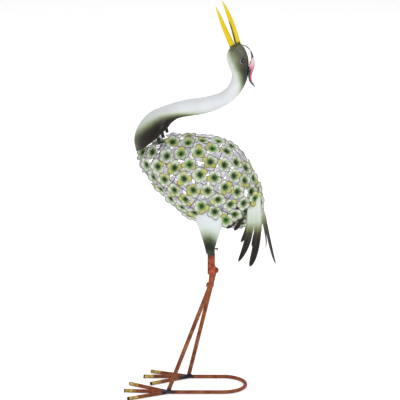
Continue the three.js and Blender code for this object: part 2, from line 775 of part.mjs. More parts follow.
addStand();
addLegs();
addThighs();
addPiece('flower_shell', shellAroundPlumes(), PAINT.petal);
const head = addPiece('neck_head', neckAndHead(), PAINT.white);
addEyes(head);
addPiece('beak_upper', mandible(BEAK_UPPER), PAINT.beak);
addPiece('beak_lower', mandible(BEAK_LOWER), PAINT.beak);
addPiece('crest', crest(), PAINT.crest);
addPlumes();

// The origin goes to the middle of the footprint
const footprint = new THREE.Box3().setFromObject(group, true);
const middle = footprint.getCenter(point(0, 0, 0));
group.children.forEach((piece) => piece.position.sub(point(middle.x, middle.y, footprint.min.z)));

export default group;
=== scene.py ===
"""Looks of a painted sheet-metal heron garden statue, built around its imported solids.

Shapes are worked out in millimetres in the bird's own frame: the ground is z = 0, the bird
faces -x, its left side is -y and its middle plane is y = 0. to_frame() moves them to the
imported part's frame, in metres.
"""

import math

import bmesh
import bpy
import numpy as np
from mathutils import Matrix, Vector, noise


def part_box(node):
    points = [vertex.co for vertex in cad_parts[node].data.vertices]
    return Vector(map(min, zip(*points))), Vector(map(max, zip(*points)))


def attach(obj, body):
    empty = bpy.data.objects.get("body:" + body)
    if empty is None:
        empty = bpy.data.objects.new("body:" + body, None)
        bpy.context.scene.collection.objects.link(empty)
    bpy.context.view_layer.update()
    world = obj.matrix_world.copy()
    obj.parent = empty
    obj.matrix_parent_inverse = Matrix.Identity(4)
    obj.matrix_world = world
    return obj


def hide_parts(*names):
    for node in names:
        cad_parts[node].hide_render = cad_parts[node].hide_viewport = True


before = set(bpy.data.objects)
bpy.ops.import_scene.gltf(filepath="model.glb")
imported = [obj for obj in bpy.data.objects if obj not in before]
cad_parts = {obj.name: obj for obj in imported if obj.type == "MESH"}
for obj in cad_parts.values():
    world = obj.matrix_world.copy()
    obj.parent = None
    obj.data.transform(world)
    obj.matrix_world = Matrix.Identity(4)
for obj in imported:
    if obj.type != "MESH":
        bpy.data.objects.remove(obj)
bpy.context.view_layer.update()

TURN = 2 * math.pi
BAR_RADIUS = 4
LEG_RADIUS = 4.5
LEG_Y = 49
RAIL_Y = 50
BEND_X = 50
# Each toe has its length and its direction in degrees; burnt is how far a weld blackens it
LEGS = [
    {"name": "left", "side": -1, "foot_x": -69, "knee": (22, 248), "hip_x": 24.2, "burnt": 26,
     "toes": {"middle": (97.2, 6), "inner": (102, 33), "outer": (97, -25.5)}},
    {"name": "right", "side": 1, "foot_x": -25, "knee": (33, 251), "hip_x": 24.5, "burnt": 42,
     "toes": {"middle": (100.4, -0.6), "inner": (96, 29), "outer": (90.8, -22.5)}},
]
SLEEVE = {"radius": 8, "bore": 5.25, "bottom": 273, "top": 317}
THIGH = {"bottom": 317.3, "waist": 320, "top": 420, "radius": 8.5, "slope": 0.2, "flare": 0.0019,
         "widest": 31, "forward": 2.8, "flatness": 0.8, "lean": 0.08, "seat": 1.5,
         "sheet": 1.1}


def centre_of(node):
    low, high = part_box(node)
    return np.array(((low + high) / 2 * 1000)[:])


left_sleeve, right_sleeve = centre_of("sleeve_left"), centre_of("sleeve_right")
SHIFT = np.array([left_sleeve[0] - LEGS[0]["hip_x"], (left_sleeve[1] + right_sleeve[1]) / 2, 0])


def to_frame(points):
    return (np.asarray(points, float) + SHIFT) / 1000


def smooth_step(low, high, value):
    part = np.clip((value - low) / (high - low), 0, 1)
    return part * part * (3 - 2 * part)


def mix(a, b, part):
    return a + (b - a) * part


# Materials


class Paint:
    """A node material with short names for the nodes that its paint needs"""

    def __init__(self, name, metallic=0.0, coat=0.0, specular=0.3):
        self.material = bpy.data.materials.new(name)
        self.material.use_nodes = True
        self.tree = self.material.node_tree
        self.shader = self.tree.nodes["Principled BSDF"]
        self.fill(self.shader, {"Metallic": metallic, "Specular IOR Level": specular,
                                "Coat Weight": coat, "Coat Roughness": 0.2})
        self.position = self.node("TexCoord").outputs["Object"]

    def fill(self, node, inputs):
        """Links or sets a node's inputs; a colour is given as red, green and blue"""
        for name, value in inputs.items():
            socket = node.inputs[name]
            if isinstance(value, bpy.types.NodeSocket):
                self.tree.links.new(value, socket)
            elif socket.type == "RGBA":
                socket.default_value = (*value, 1)
            else:
                socket.default_value = value

    def node(self, kind, inputs=None):
        node = self.tree.nodes.new("ShaderNode" + kind)
        self.fill(node, inputs or {})
        return node

    def masks(self):
        """The four masks that the mesh carries"""
        attribute = self.node("Attribute")
        attribute.attribute_name = "paint"
        split = self.node("SeparateColor", {"Color": attribute.outputs["Color"]})
        return [split.outputs[i] for i in range(3)] + [attribute.outputs["Alpha"]]

    def uv(self, stretch):
        coordinates = self.node("UVMap")
        coordinates.uv_map = "UVMap"
        mapping = self.node("Mapping", {"Vector": coordinates.outputs["UV"], "Scale": stretch})
        return mapping.outputs["Vector"]

    def noise(self, scale, detail=3.0, roughness=0.6, where=None):
        inputs = {"Scale": scale, "Detail": detail, "Roughness": roughness}
        return self.node("TexNoise", {**inputs, "Vector": where or self.position}).outputs["Fac"]

    def math(self, operation, a, b):
        node = self.node("Math", {0: a, 1: b})
        node.operation = operation
        return node.outputs["Value"]

    def spread(self, value, low, high, to_low=0.0, to_high=1.0):
        node = self.node("MapRange", {"Value": value, "From Min": low, "From Max": high,
                                      "To Min": to_low, "To Max": to_high})
        node.interpolation_type = "SMOOTHSTEP"
        return node.outputs["Result"]

    def ramp(self, value, *stops):
        """A colour that goes with a value; each stop is its place and red, green and blue"""
        node = self.node("ValToRGB", {"Fac": value})
        elements = node.color_ramp.elements
        while len(elements) < len(stops):
            elements.new(0.5)
        for element, (place, *color) in zip(elements, stops):
            element.position = place
            element.color = (*color, 1)
        return node.outputs["Color"]

    def blend(self, part, a, b, how="MIX"):
        node = self.node("Mix")
        node.data_type = "RGBA"
        node.blend_type = how
        first, second = (i for i, socket in enumerate(node.inputs) if socket.type == "RGBA")
        self.fill(node, {"Factor": part, first: a, second: b})
        return next(socket for socket in node.outputs if socket.type == "RGBA")

    def over(self, color, top, mask, strength):
        """A colour laid over another, as strongly as the mask times the strength"""
        return self.blend(self.math("MULTIPLY", mask, strength), color, top)

    def mottle(self, scale, a, b, detail=3):
        """Two colours mixed by noise of that size"""
        return self.blend(self.noise(scale, detail), a, b)

    def shake(self, value, source, amount):
        """The value with a noise added, centred on zero"""
        centred = self.math("SUBTRACT", source, 0.5)
        return self.math("ADD", value, self.math("MULTIPLY", centred, amount))

    def wobble(self, value, scale, amount, detail=4.0):
        return self.shake(value, self.noise(scale, detail), amount)

    def finish(self, color, roughness=(0.35, 0.55), bumps=((900, 0.06, 0.0002),)):
        """Sets the colour, a roughness that varies, and bumps given as scale, strength and depth"""
        varied = self.spread(self.noise(70, 4), 0.3, 0.7, *roughness)
        self.fill(self.shader, {"Base Color": color, "Roughness": varied})
        normal = {}
        for scale, strength, depth in bumps:
            bump = self.node("Bump", {"Strength": strength, "Distance": depth,
                                      "Height": self.noise(scale, 2), **normal})
            normal = {"Normal": bump.outputs["Normal"]}
        self.fill(self.shader, normal)
        return self.material


def mottled_paint(name, scale, dark, light, roughness=(0.35, 0.55), **shine):
    """A plain paint of two colours"""
    paint = Paint(name, **shine)
    return paint.finish(paint.mottle(scale, dark, light), roughness)


def neck_paint():
    paint = Paint("neck_paint", coat=0.04, specular=0.14)
    dark, face, hind, orbit = paint.masks()
    edge = paint.wobble(paint.wobble(dark, 60, 0.16), 700, 0.10, 2)
    white = paint.mottle(16, (0.66, 0.69, 0.73), (0.84, 0.85, 0.86))
    coat = paint.ramp(edge, (0.0, 1.0, 1.0, 1.0), (0.16, 0.86, 0.90, 0.76),
                      (0.36, 0.40, 0.46, 0.28), (0.58, 0.130, 0.135, 0.075),
                      (0.80, 0.042, 0.036, 0.024), (1.0, 0.020, 0.015, 0.012))
    color = paint.blend(1.0, white, coat, "MULTIPLY")
    olive = paint.mottle(70, (0.050, 0.060, 0.030), (0.17, 0.185, 0.115), 4)
    olive = paint.blend(paint.spread(dark, 0.95, 0.45), olive, (0.30, 0.33, 0.15))
    color = paint.over(color, olive, face, paint.spread(dark, 0.1, 0.95))
    smudge = paint.spread(paint.noise(48, 3), 0.46, 0.62)
    tint = paint.blend(smudge, (0.010, 0.060, 0.045), (0.060, 0.020, 0.020))
    color = paint.over(color, tint, hind, 0.55)
    speckle = paint.spread(paint.noise(300, 5, 0.75), 0.50, 0.64, 0.0, 0.5)
    color = paint.over(color, (0.30, 0.29, 0.29), speckle, face)
    color = paint.over(color, (0.030, 0.026, 0.034), orbit, 0.8)
    return paint.finish(color, (0.3, 0.48), ((24, 0.08, 0.002), (1100, 0.05, 0.0002)))


def petal_paint():
    paint = Paint("petal_paint", coat=0.05, specular=0.2)
    radial, edge, yellow, fresh = paint.masks()
    spokes = paint.noise(1.0, 3, 0.75, paint.uv((38, 1.1, 1)))
    reach = paint.wobble(paint.shake(radial, spokes, 0.9), 420, 0.12, 2)
    leaf = paint.blend(fresh, (0.075, 0.130, 0.045), (0.09, 0.28, 0.02))
    heart = paint.blend(fresh, (0.010, 0.024, 0.010), (0.03, 0.10, 0.008))
    chalk = paint.mottle(45, (0.50, 0.58, 0.42), (0.86, 0.88, 0.80), 4)
    glints = paint.spread(paint.noise(230, 2), 0.52, 0.66, 0.0, 0.6)
    pale = paint.blend(glints, chalk, (0.88, 0.90, 0.86))
    gold = paint.mottle(110, (0.42, 0.43, 0.03), (0.68, 0.60, 0.12))
    outer = paint.blend(yellow, pale, gold)
    middle = paint.blend(paint.spread(reach, 0.38, 0.70), (0.30, 0.40, 0.18), outer)
    inner = paint.blend(paint.spread(reach, 0.24, 0.50), leaf, middle)
    color = paint.blend(paint.spread(reach, 0.10, 0.34), heart, inner)
    # Painted shade along each petal's raised rim
    color = paint.over(color, (0.13, 0.15, 0.08), edge, 0.85)
    return paint.finish(color, (0.28, 0.5), ((260, 0.25, 0.0008), (1300, 0.05, 0.0002)))


def petal_back():
    paint = Paint("petal_back")
    tone = paint.mottle(38, (0.52, 0.49, 0.64), (0.96, 0.95, 1.0), 4)
    color = paint.blend(paint.spread(paint.noise(90, 4), 0.5, 0.68), tone, (0.90, 0.92, 0.78))
    return paint.finish(color, (0.3, 0.5), ((600, 0.08, 0.0003),))


def beak_paint():
    paint = Paint("beak_paint", coat=0.06, specular=0.12)
    line, base, bright, painted_shade = paint.masks()
    gold = paint.mottle(55, (0.80, 0.52, 0.003), (0.78, 0.62, 0.006))
    gold = paint.blend(bright, gold, (0.72, 0.70, 0.05))
    # Painted shade on each mandible's inner face, the one towards the other mandible
    gold = paint.over(gold, (0.55, 0.56, 0.02), painted_shade, 0.5)
    # Painted shadow in a line along the inner face, where the gap between the mandibles is
    painted_gap_shadow = paint.spread(paint.wobble(line, 160, 0.3), 0.3, 0.8)
    color = paint.blend(painted_gap_shadow, gold, (0.110, 0.058, 0.014))
    olive = paint.mottle(200, (0.16, 0.17, 0.01), (0.035, 0.035, 0.02), 4)
    color = paint.blend(paint.spread(paint.wobble(base, 240, 0.4), 0.1, 0.8), color, olive)
    return paint.finish(color, (0.28, 0.45), ((300, 0.08, 0.0005), (1200, 0.04, 0.0002)))


def crest_paint():
    paint = Paint("crest_paint", coat=0.1)
    pink, dark, red, _ = paint.masks()
    grey = paint.mottle(120, (0.42, 0.44, 0.42), (0.68, 0.69, 0.68), 4)
    rose = paint.blend(paint.wobble(red, 150, 0.4), (0.80, 0.55, 0.60), (0.62, 0.10, 0.17))
    color = paint.blend(paint.spread(paint.wobble(pink, 150, 0.3), 0.2, 0.8), grey, rose)
    shade = paint.spread(paint.wobble(dark, 220, 0.5), 0.3, 0.8)
    color = paint.blend(shade, color, (0.035, 0.035, 0.028))
    return paint.finish(color, (0.3, 0.5), ((420, 0.12, 0.0005),))


def plume_paint():
    paint = Paint("plume_paint", specular=0.1)
    along, ridge, edge, _ = paint.masks()
    fibre = paint.noise(1.0, 4, 0.7, paint.uv((46, 2.5, 1)))
    color = paint.ramp(paint.shake(along, fibre, 0.14), (0.0, 0.74, 0.81, 0.74),
                       (0.18, 0.78, 0.84, 0.80), (0.36, 0.60, 0.69, 0.57),
                       (0.45, 0.26, 0.29, 0.14), (0.53, 0.060, 0.052, 0.028),
                       (0.64, 0.022, 0.017, 0.013), (1.0, 0.014, 0.012, 0.011))
    color = paint.over(color, (0.30, 0.29, 0.28), paint.spread(fibre, 0.55, 0.75), 0.07)
    color = paint.over(color, (0.14, 0.13, 0.11), paint.math("SUBTRACT", 1.0, ridge), 0.10)
    color = paint.over(color, (0.06, 0.06, 0.05), edge, 0.35)
    return paint.finish(color, (0.32, 0.5), ((500, 0.08, 0.0004),))


def thigh_paint():
    paint = Paint("thigh_paint", coat=0.05, specular=0.14)
    place = paint.wobble(paint.wobble(paint.masks()[0], 60, 0.10), 700, 0.06, 2)
    color = paint.ramp(place, (0.0, 0.050, 0.060, 0.040), (0.08, 0.016, 0.019, 0.012),
                       (0.22, 0.022, 0.028, 0.014), (0.34, 0.085, 0.110, 0.050),
                       (0.46, 0.36, 0.43, 0.31), (0.64, 0.66, 0.73, 0.69),
                       (1.0, 0.78, 0.82, 0.88))
    return paint.finish(color, (0.3, 0.48), ((30, 0.06, 0.0015), (1000, 0.05, 0.0002)))


def bar_paint():
    paint = Paint("bar_paint", specular=0.12)
    gold, weld, red, painted_shade = paint.masks()
    rust = paint.ramp(paint.noise(70, 6, 0.7), (0.30, 0.080, 0.024, 0.013),
                      (0.46, 0.19, 0.056, 0.021), (0.60, 0.33, 0.108, 0.031),
                      (0.75, 0.48, 0.225, 0.078))
    plum = paint.spread(paint.noise(34, 3), 0.56, 0.72, 0.0, 0.5)
    rust = paint.blend(plum, rust, (0.13, 0.055, 0.070))
    blotches = paint.spread(paint.noise(130, 5, 0.7), 0.36, 0.64)
    scarlet = paint.blend(blotches, (0.22, 0.026, 0.015), (0.52, 0.120, 0.050))
    color = paint.blend(red, rust, scarlet)
    ochre = paint.ramp(paint.noise(150, 5, 0.7), (0.30, 0.17, 0.10, 0.030),
                       (0.45, 0.42, 0.27, 0.065), (0.60, 0.60, 0.43, 0.13),
                       (0.75, 0.74, 0.62, 0.30))
    color = paint.blend(paint.spread(paint.wobble(gold, 130, 0.5), 0.3, 0.7), color, ochre)
    # Real welds are blackened through the weld mask; on the sleeves and knee balls that mask also
    # carries painted shade, in the same slag colour
    ash = paint.spread(paint.noise(120, 3), 0.45, 0.6)
    slag_and_shade = paint.blend(ash, (0.012, 0.012, 0.019), (0.055, 0.055, 0.058))
    color = paint.blend(paint.spread(paint.wobble(weld, 110, 0.9), 0.35, 0.8), color, slag_and_shade)
    # Painted shade on the undersides of the bars on the ground, and on the sleeves' tops and front
    # sides
    color = paint.over(color, (0.035, 0.016, 0.014), painted_shade, 0.75)
    pits = paint.spread(paint.noise(520, 3), 0.60, 0.72, 0.0, 0.55)
    color = paint.blend(pits, color, (0.05, 0.020, 0.016))
    return paint.finish(color, (0.38, 0.65), ((180, 0.2, 0.0006), (900, 0.12, 0.0003)))


def eye_paint():
    paint = Paint("eye_paint", coat=0.1, specular=0.1)
    black = paint.mottle(300, (0.003, 0.003, 0.005), (0.008, 0.007, 0.012), 2)
    # The first mask is a painted glint: a white highlight dot at the middle of the bead
    color = paint.blend(paint.spread(paint.masks()[0], 0.3, 0.7), black, (0.9, 0.9, 0.95))
    return paint.finish(color, (0.12, 0.2), ((300, 0.01, 0.0001),))


# Mesh helpers


def add_object(name, data):
    made = bpy.data.objects.new(name, data)
    bpy.context.scene.collection.objects.link(made)
    return made


def make_piece(name, points, faces, masks, paint, slot, replaces=(), uv=None, **shape):
    """A mesh object that rides on the statue, with up to four paint masks a point.

    shape may give thickness (the faces become a sheet, grown inwards), back (a second paint) and
    face_slots (which faces have it), sharp (the angle in degrees above which an edge is sharp)
    and closed (the faces bound a solid).
    """
    mesh = bpy.data.meshes.new(name)
    mesh.from_pydata(to_frame(points).tolist(), [], [tuple(map(int, face)) for face in faces])
    if masks is not None:
        attribute = mesh.color_attributes.new("paint", "FLOAT_COLOR", "POINT")
        attribute.data.foreach_set("color", np.asarray(masks, np.float32).ravel())
    if uv is not None:
        layer = mesh.uv_layers.new(name="UVMap")
        corner = np.zeros(len(mesh.loops), int)
        mesh.loops.foreach_get("vertex_index", corner)
        layer.data.foreach_set("uv", np.asarray(uv, np.float32)[corner].ravel())
    mesh.materials.append(paint)
    if "back" in shape:
        mesh.materials.append(shape["back"])
        mesh.polygons.foreach_set("material_index", shape["face_slots"])
    body = bmesh.new()
    body.from_mesh(mesh)
    bmesh.ops.remove_doubles(body, verts=body.verts, dist=1e-6)
    if shape.get("closed", True):
        bmesh.ops.recalc_face_normals(body, faces=body.faces)
    body.to_mesh(mesh)
    body.free()
    piece = add_object(name, mesh)
    if "thickness" in shape:
        solid = piece.modifiers.new("sheet", "SOLIDIFY")
        solid.thickness = shape["thickness"] / 1000
        solid.offset = -1
        solid.use_even_offset = True
        solid.thickness_clamp = 2
        depsgraph = bpy.context.evaluated_depsgraph_get()
        piece.data = bpy.data.meshes.new_from_object(piece.evaluated_get(depsgraph))
        piece.data.name = name
        piece.modifiers.clear()
    piece.data.polygons.foreach_set("use_smooth", [True] * len(piece.data.polygons))
    piece.data.set_sharp_from_angle(angle=math.radians(shape.get("sharp", 40)))
    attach(piece, "root")
    for node in replaces:
        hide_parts(node)


def masks_for(points, *masks):
    """A row of four paint masks for each point, from numbers or arrays; the rest are zero"""
    table = np.zeros((len(points), 4))
    for column, mask in enumerate(masks):
        table[:, column] = mask
    return table


def joined(parts):
    """Points, faces and masks of several parts as one"""
    points, face_lists, masks = zip(*parts)
    faces, count = [], 0
    for part_points, part_faces in zip(points, face_lists):
        faces += [tuple(i + count for i in face) for face in part_faces]
        count += len(part_points)
    return np.concatenate(points), faces, np.concatenate(masks)


def grid_faces(rows, columns, start=0, wrap=False):
    faces = []
    for i in range(rows - 1):
        for j in range(columns if wrap else columns - 1):
            k = (j + 1) % columns
            here = start + i * columns
            faces.append((here + j, here + k, here + columns + k, here + columns + j))
    return faces


def capped_faces(rows, columns):
    """Faces round a row of rings, with a face over the first and the last ring"""
    last = (rows - 1) * columns
    ends = [tuple(range(columns)), tuple(range(last, last + columns))]
    return grid_faces(rows, columns, wrap=True) + ends


def catmull(points, samples):
    """The centripetal curve through a row of points, at each sample from 0 to 1"""
    points = np.asarray(points, float)
    last = len(points) - 1
    padded = np.vstack([2 * points[0] - points[1], points, 2 * points[last] - points[last - 1]])
    result = []
    for sample in samples:
        place = min(sample * last, last - 1e-9)
        i = int(place)
        part = place - i
        p = padded[i:i + 4]
        d = [max(np.linalg.norm(p[k + 1] - p[k]) ** 0.5, 1e-4) for k in range(3)]
        t1 = (p[1] - p[0]) / d[0] - (p[2] - p[0]) / (d[0] + d[1]) + (p[2] - p[1]) / d[1]
        t2 = (p[2] - p[1]) / d[1] - (p[3] - p[1]) / (d[1] + d[2]) + (p[3] - p[2]) / d[2]
        t1, t2 = t1 * d[1], t2 * d[1]
        square = -3 * p[1] + 3 * p[2] - 2 * t1 - t2
        cube = 2 * p[1] - 2 * p[2] + t1 + t2
        result.append(p[1] + t1 * part + square * part**2 + cube * part**3)
    return np.array(result)


def unit(vectors):
    vectors = np.asarray(vectors, float)
    return vectors / np.linalg.norm(vectors, axis=-1, keepdims=True)


def tube(path, radius, sides=20, chamfer=0.5, across=(0, 1, 0)):
    """A round bar along a path, with chamfered ends. Gives points, faces and places along it"""
    path = np.asarray(path, float)
    ahead = unit(np.gradient(path, axis=0))
    path = np.vstack([path[0], path[0] + ahead[0] * chamfer, path[1:-1],
                      path[-1] - ahead[-1] * chamfer, path[-1]])
    ahead = np.vstack([ahead[0], ahead, ahead[-1]])
    radii = np.full(len(path), float(radius))
    radii[[0, -1]] -= chamfer
    across = np.array(across, float)
    angles = np.arange(sides) / sides * TURN
    rings = []
    for centre, direction, ring_radius in zip(path, ahead, radii):
        across = unit(across - direction * (across @ direction))
        upward = np.cross(across, direction)
        rings.append(centre + ring_radius * (np.outer(np.cos(angles), across)
                                             + np.outer(np.sin(angles), upward)))
    length = np.concatenate([[0], np.cumsum(np.linalg.norm(np.diff(path, axis=0), axis=1))])
    return np.concatenate(rings), capped_faces(len(rings), sides), np.repeat(length, sides)


def lathe(profile, sides, centre, first=(1, 0, 0), second=(0, 1, 0), axis=(0, 0, 1), bored=False):
    """A form turned from radii and heights; bored joins its last ring to the first"""
    centre, first, second, axis = (np.array(v, float) for v in (centre, first, second, axis))
    points = [centre + r * (math.cos(a) * first + math.sin(a) * second) + h * axis
              for r, h in profile for a in np.arange(sides) / sides * TURN]
    if not bored:
        return np.array(points), capped_faces(len(profile), sides)
    last = len(points) - sides
    faces = grid_faces(len(profile), sides, wrap=True)
    faces += [(last + j, last + (j + 1) % sides, (j + 1) % sides, j) for j in range(sides)]
    return np.array(points), faces


def lump(centre, radii, seed, rough, steps=3):
    """A weld bead or forged ball: a sphere with an uneven surface"""
    ball = bmesh.new()
    bmesh.ops.create_icosphere(ball, subdivisions=steps, radius=1)
    points = np.array([v.co[:] for v in ball.verts])
    faces = [tuple(v.index for v in f.verts) for f in ball.faces]
    ball.free()
    offset = Vector((seed * 7.3, seed * 1.7, 0))
    bumps = [noise.noise(Vector(p) * 2.2 + offset) for p in points]
    points = points * (1 + rough * np.array(bumps))[:, None]
    return points * np.asarray(radii, float) + np.asarray(centre, float), faces


# Body: an egg whose long axis dips towards the tail

BODY = {"centre": np.array([18, 0, 471.5]), "dip": math.radians(30.5), "front": 153, "tail": 141,
        "half_height": 91, "half_width": 82, "fullness": 1.55, "droop": 20}
ALONG = np.array([math.cos(BODY["dip"]), 0, -math.sin(BODY["dip"])])
UPWARD = np.array([math.sin(BODY["dip"]), 0, math.cos(BODY["dip"])])
LEFTWARD = np.array([0, -1, 0])


def body_girth(along):
    part = along / np.where(along < 0, BODY["front"], BODY["tail"])
    girth = np.maximum(1 - np.abs(part) ** BODY["fullness"], 0) ** (1 / BODY["fullness"])
    return part, girth


def body_point(along, angle, scale=1.0):
    """The egg's surface at a place on its axis and an angle round it; 0 is the bird's left"""
    along, angle = np.asarray(along, float), np.asarray(angle, float)
    part, girth = body_girth(along)
    upward = scale * BODY["half_height"] * girth * np.sin(angle) - BODY["droop"] * part**2
    leftward = scale * BODY["half_width"] * girth * np.cos(angle)
    return (BODY["centre"] + along[..., None] * ALONG + upward[..., None] * UPWARD
            + leftward[..., None] * LEFTWARD)


def outside_body(point, distance):
    offset = point - BODY["centre"]
    part, girth = body_girth(offset @ ALONG)
    if abs(part) >= 1:
        return True
    upward = (offset @ UPWARD + BODY["droop"] * part**2) / (BODY["half_height"] * girth + distance)
    leftward = offset @ LEFTWARD / (BODY["half_width"] * girth + distance)
    return math.hypot(upward, leftward) >= 1


# Each ring of flowers has its place on the axis, how many, where it starts and its zigzag
FLOWER_RINGS = [(-152, 1, 0, 0), (-136, 6, 21, 0), (-111, 10, -17, 3), (-85, 12, 3, 3),
                (-57, 14, -6, 5), (-26, 16, -10, 5), (5, 16, -7, 6), (36, 16, -8, 6),
                (65, 14, -9, 4), (91, 12, 12, 2), (114, 9, 32, 0), (131, 5, 0, 0)]
SPACING = 31.5
SPREAD_ROUNDS = 60
SPREAD_STEP = 0.3
# Where blooms stand in front of the left thigh's rim and plume's root; the right has the same
COVERS = [(3.1, -74.5, 431.1), (31.2, -69.5, 417.2), (55.2, -58.5, 395.9), (117.3, -43, 440)]
COVER_REACH = 26
COVER_TILT = [0.7, 1, 0.12]
# The blooms nearest to these places, on both sides, and how far they stand out: deeper under
# the belly plumes, and higher under the collar's rim
SHIFTED = [((88, 40, 405), -8), ((-86, 36, 553), 7), ((-62, 32, 561), 7)]


def body_slopes(along, angle):
    step = 0.01
    tailward = (body_point(along + step, angle) - body_point(along - step, angle)) / (2 * step)
    around = (body_point(along, angle + step) - body_point(along, angle - step)) / (2 * step)
    return tailward, around


def flower_places():
    """Flowers start in even rings, and then those that stand too close push each other apart"""
    starts = [(place + (-zigzag if i % 2 else zigzag), math.radians(first + 360 * i / count), ring)
              for ring, (place, count, first, zigzag) in enumerate(FLOWER_RINGS)
              for i in range(count)]
    along, angle, ring_of = (np.array(column) for column in zip(*starts))
    free = np.array([FLOWER_RINGS[ring][1] > 1 for ring in ring_of])
    for _ in range(SPREAD_ROUNDS):
        centres = body_point(along, angle)
        away = centres[:, None] - centres[None]
        distance = np.linalg.norm(away, axis=-1)
        near = (distance > 0) & (distance < SPACING)
        strength = np.where(near, SPREAD_STEP * (SPACING / np.maximum(distance, 1e-9) - 1), 0)
        push = (away * strength[..., None]).sum(axis=1)
        tailward, around = body_slopes(along, angle)
        along = along + free * (push * tailward).sum(-1) / (tailward**2).sum(-1)
        angle = angle + free * (push * around).sum(-1) / (around**2).sum(-1)
    return along, angle, ring_of


PETALS = 5
PETAL_STOPS = np.array([-1, -0.9, -0.7, -0.4, 0, 0.4, 0.7, 0.9])
PETAL_ROWS = np.array([0.15, 0.32, 0.52, 0.70, 0.83, 0.93, 1.0])
BACK_ROWS = np.array([0.97, 0.6, 0.2])
PETAL_CENTRE = 11.5
PETAL_RADIUS = 7.3
PETAL_TIP = PETAL_CENTRE + PETAL_RADIUS
PETAL_SHEET = 0.6
HEART_DEPTH = 0.8
HEART_WIDTH = 0.25
SPOON = 1.3
RIM_LIFT = 0.5
FRESH_SHARE = 0.3
LEAST_GOLD = 0.05
MORE_GOLD = 0.42
FIRST_SEED = 1000
SPIN_PLAY = 0.12
# Where yellow petals are common, as x, z and radius
YELLOW_SPOTS = [(-5, 545, 34), (10, 470, 38), (45, 500, 26), (118, 468, 18), (-75, 500, 16),
                (35, 405, 20)]
BOSS = [(2.6, -0.2), (2.2, 0.9), (1.1, 1.6), (0, 1.8)]
BOSS_SIDES = 10


def petal_reach(stop):
    """How far a round petal reaches from the bloom's middle; stop runs from -1 to 1 across it"""
    turn = stop * math.pi / PETALS
    height = PETAL_CENTRE * math.sin(turn)
    return PETAL_CENTRE * math.cos(turn) + math.sqrt(max(PETAL_RADIUS**2 - height**2, 0))


def flower(centre, across, tailward, normal, chance, spin):
    """One cupped five-petal bloom of two faces: points, faces, masks, UV and material slots"""
    size = chance.uniform(0.94, 1.04)
    tilt = chance.uniform(-0.13, 0.13, 2)
    lift = chance.uniform(-1.5, -0.1)
    bowl = chance.uniform(2.4, 3.6)
    fresh = chance.uniform(0.6, 1) if chance.random() < FRESH_SHARE else chance.uniform(0, 0.25)
    nearby = sum(math.exp(-((centre[0] - x) ** 2 + (centre[2] - z) ** 2) / (2 * r * r))
                 for x, z, r in YELLOW_SPOTS)
    gold_share = LEAST_GOLD + MORE_GOLD * min(nearby, 1)
    gold = [chance.uniform(0.6, 1) if chance.random() < gold_share else 0 for _ in range(PETALS)]
    sizes = chance.uniform(0.93, 1.05, PETALS)

    def layer(rows, depth):
        points, masks, uv = [], [], []
        for row in rows:
            for petal in range(PETALS):
                for stop in PETAL_STOPS:
                    turn = spin + (petal + stop / 2) * TURN / PETALS
                    bulge = 1 - abs(stop) ** 3
                    radius = petal_reach(stop) * mix(1, sizes[petal], bulge) * size * row
                    far = radius / PETAL_TIP
                    spoon = SPOON * stop**2 * far + RIM_LIFT * smooth_step(0.86, 1, row)
                    heart = -HEART_DEPTH * math.exp(-((far / HEART_WIDTH) ** 2))
                    x, y = radius * math.cos(turn), radius * math.sin(turn)
                    height = bowl * far**2 + spoon + heart + lift + tilt[0] * x + tilt[1] * y
                    points.append((x, y, height - depth))
                    # The edge mask is painted shade along the rim of each petal
                    edge = smooth_step(0.80, 0.96, row) * smooth_step(0.35, 0.5, far)
                    masks.append((far, edge, gold[petal], fresh))
                    uv.append((turn / TURN, far))
        return points, masks, uv

    top, top_masks, top_uv = layer(PETAL_ROWS, 0)
    low, low_masks, low_uv = layer(BACK_ROWS, PETAL_SHEET)
    bottom = lift - HEART_DEPTH
    local = np.array([(0, 0, bottom)] + top + low + [(0, 0, bottom - PETAL_SHEET)])
    ends = [(0, 0, 0, fresh)]
    masks = np.array(ends + top_masks + low_masks + ends)
    uv = np.array([(0.5, 0)] + top_uv + low_uv + [(0.5, 0)])
    columns = PETALS * len(PETAL_STOPS)
    last = len(local) - 1
    inner = last - columns
    faces = [(0, 1 + j, 1 + (j + 1) % columns) for j in range(columns)]
    faces += [face[::-1] for face in grid_faces(len(PETAL_ROWS) + len(BACK_ROWS), columns, 1, True)]
    faces += [(inner + (j + 1) % columns, inner + j, last) for j in range(columns)]
    slots = [int(i >= columns * len(PETAL_ROWS)) for i in range(len(faces))]
    placed = centre + local[:, :1] * across + local[:, 1:2] * tailward + local[:, 2:] * normal
    return placed, faces, masks, uv, slots


def shift_blooms(centres, normal):
    """Moves the nearest bloom to each cover's place, upright, and others inwards or outwards"""
    moved = np.zeros(len(centres), bool)

    def nearest_to(place, side):
        target = np.array(place) * [1, side, 1]
        distance = np.where(moved, np.inf, np.linalg.norm(centres - target, axis=-1))
        return target, int(np.argmin(distance)), distance.min()

    for cover in COVERS:
        for side in (1, -1):
            target, nearest, distance = nearest_to(cover, side)
            if distance < COVER_REACH:
                moved[nearest] = True
                centres[nearest] = target
                normal[nearest] = unit(normal[nearest] * COVER_TILT)
    for place, height in SHIFTED:
        for side in (1, -1):
            _, nearest, _ = nearest_to(place, side)
            moved[nearest] = True
            centres[nearest] = centres[nearest] + height * normal[nearest]


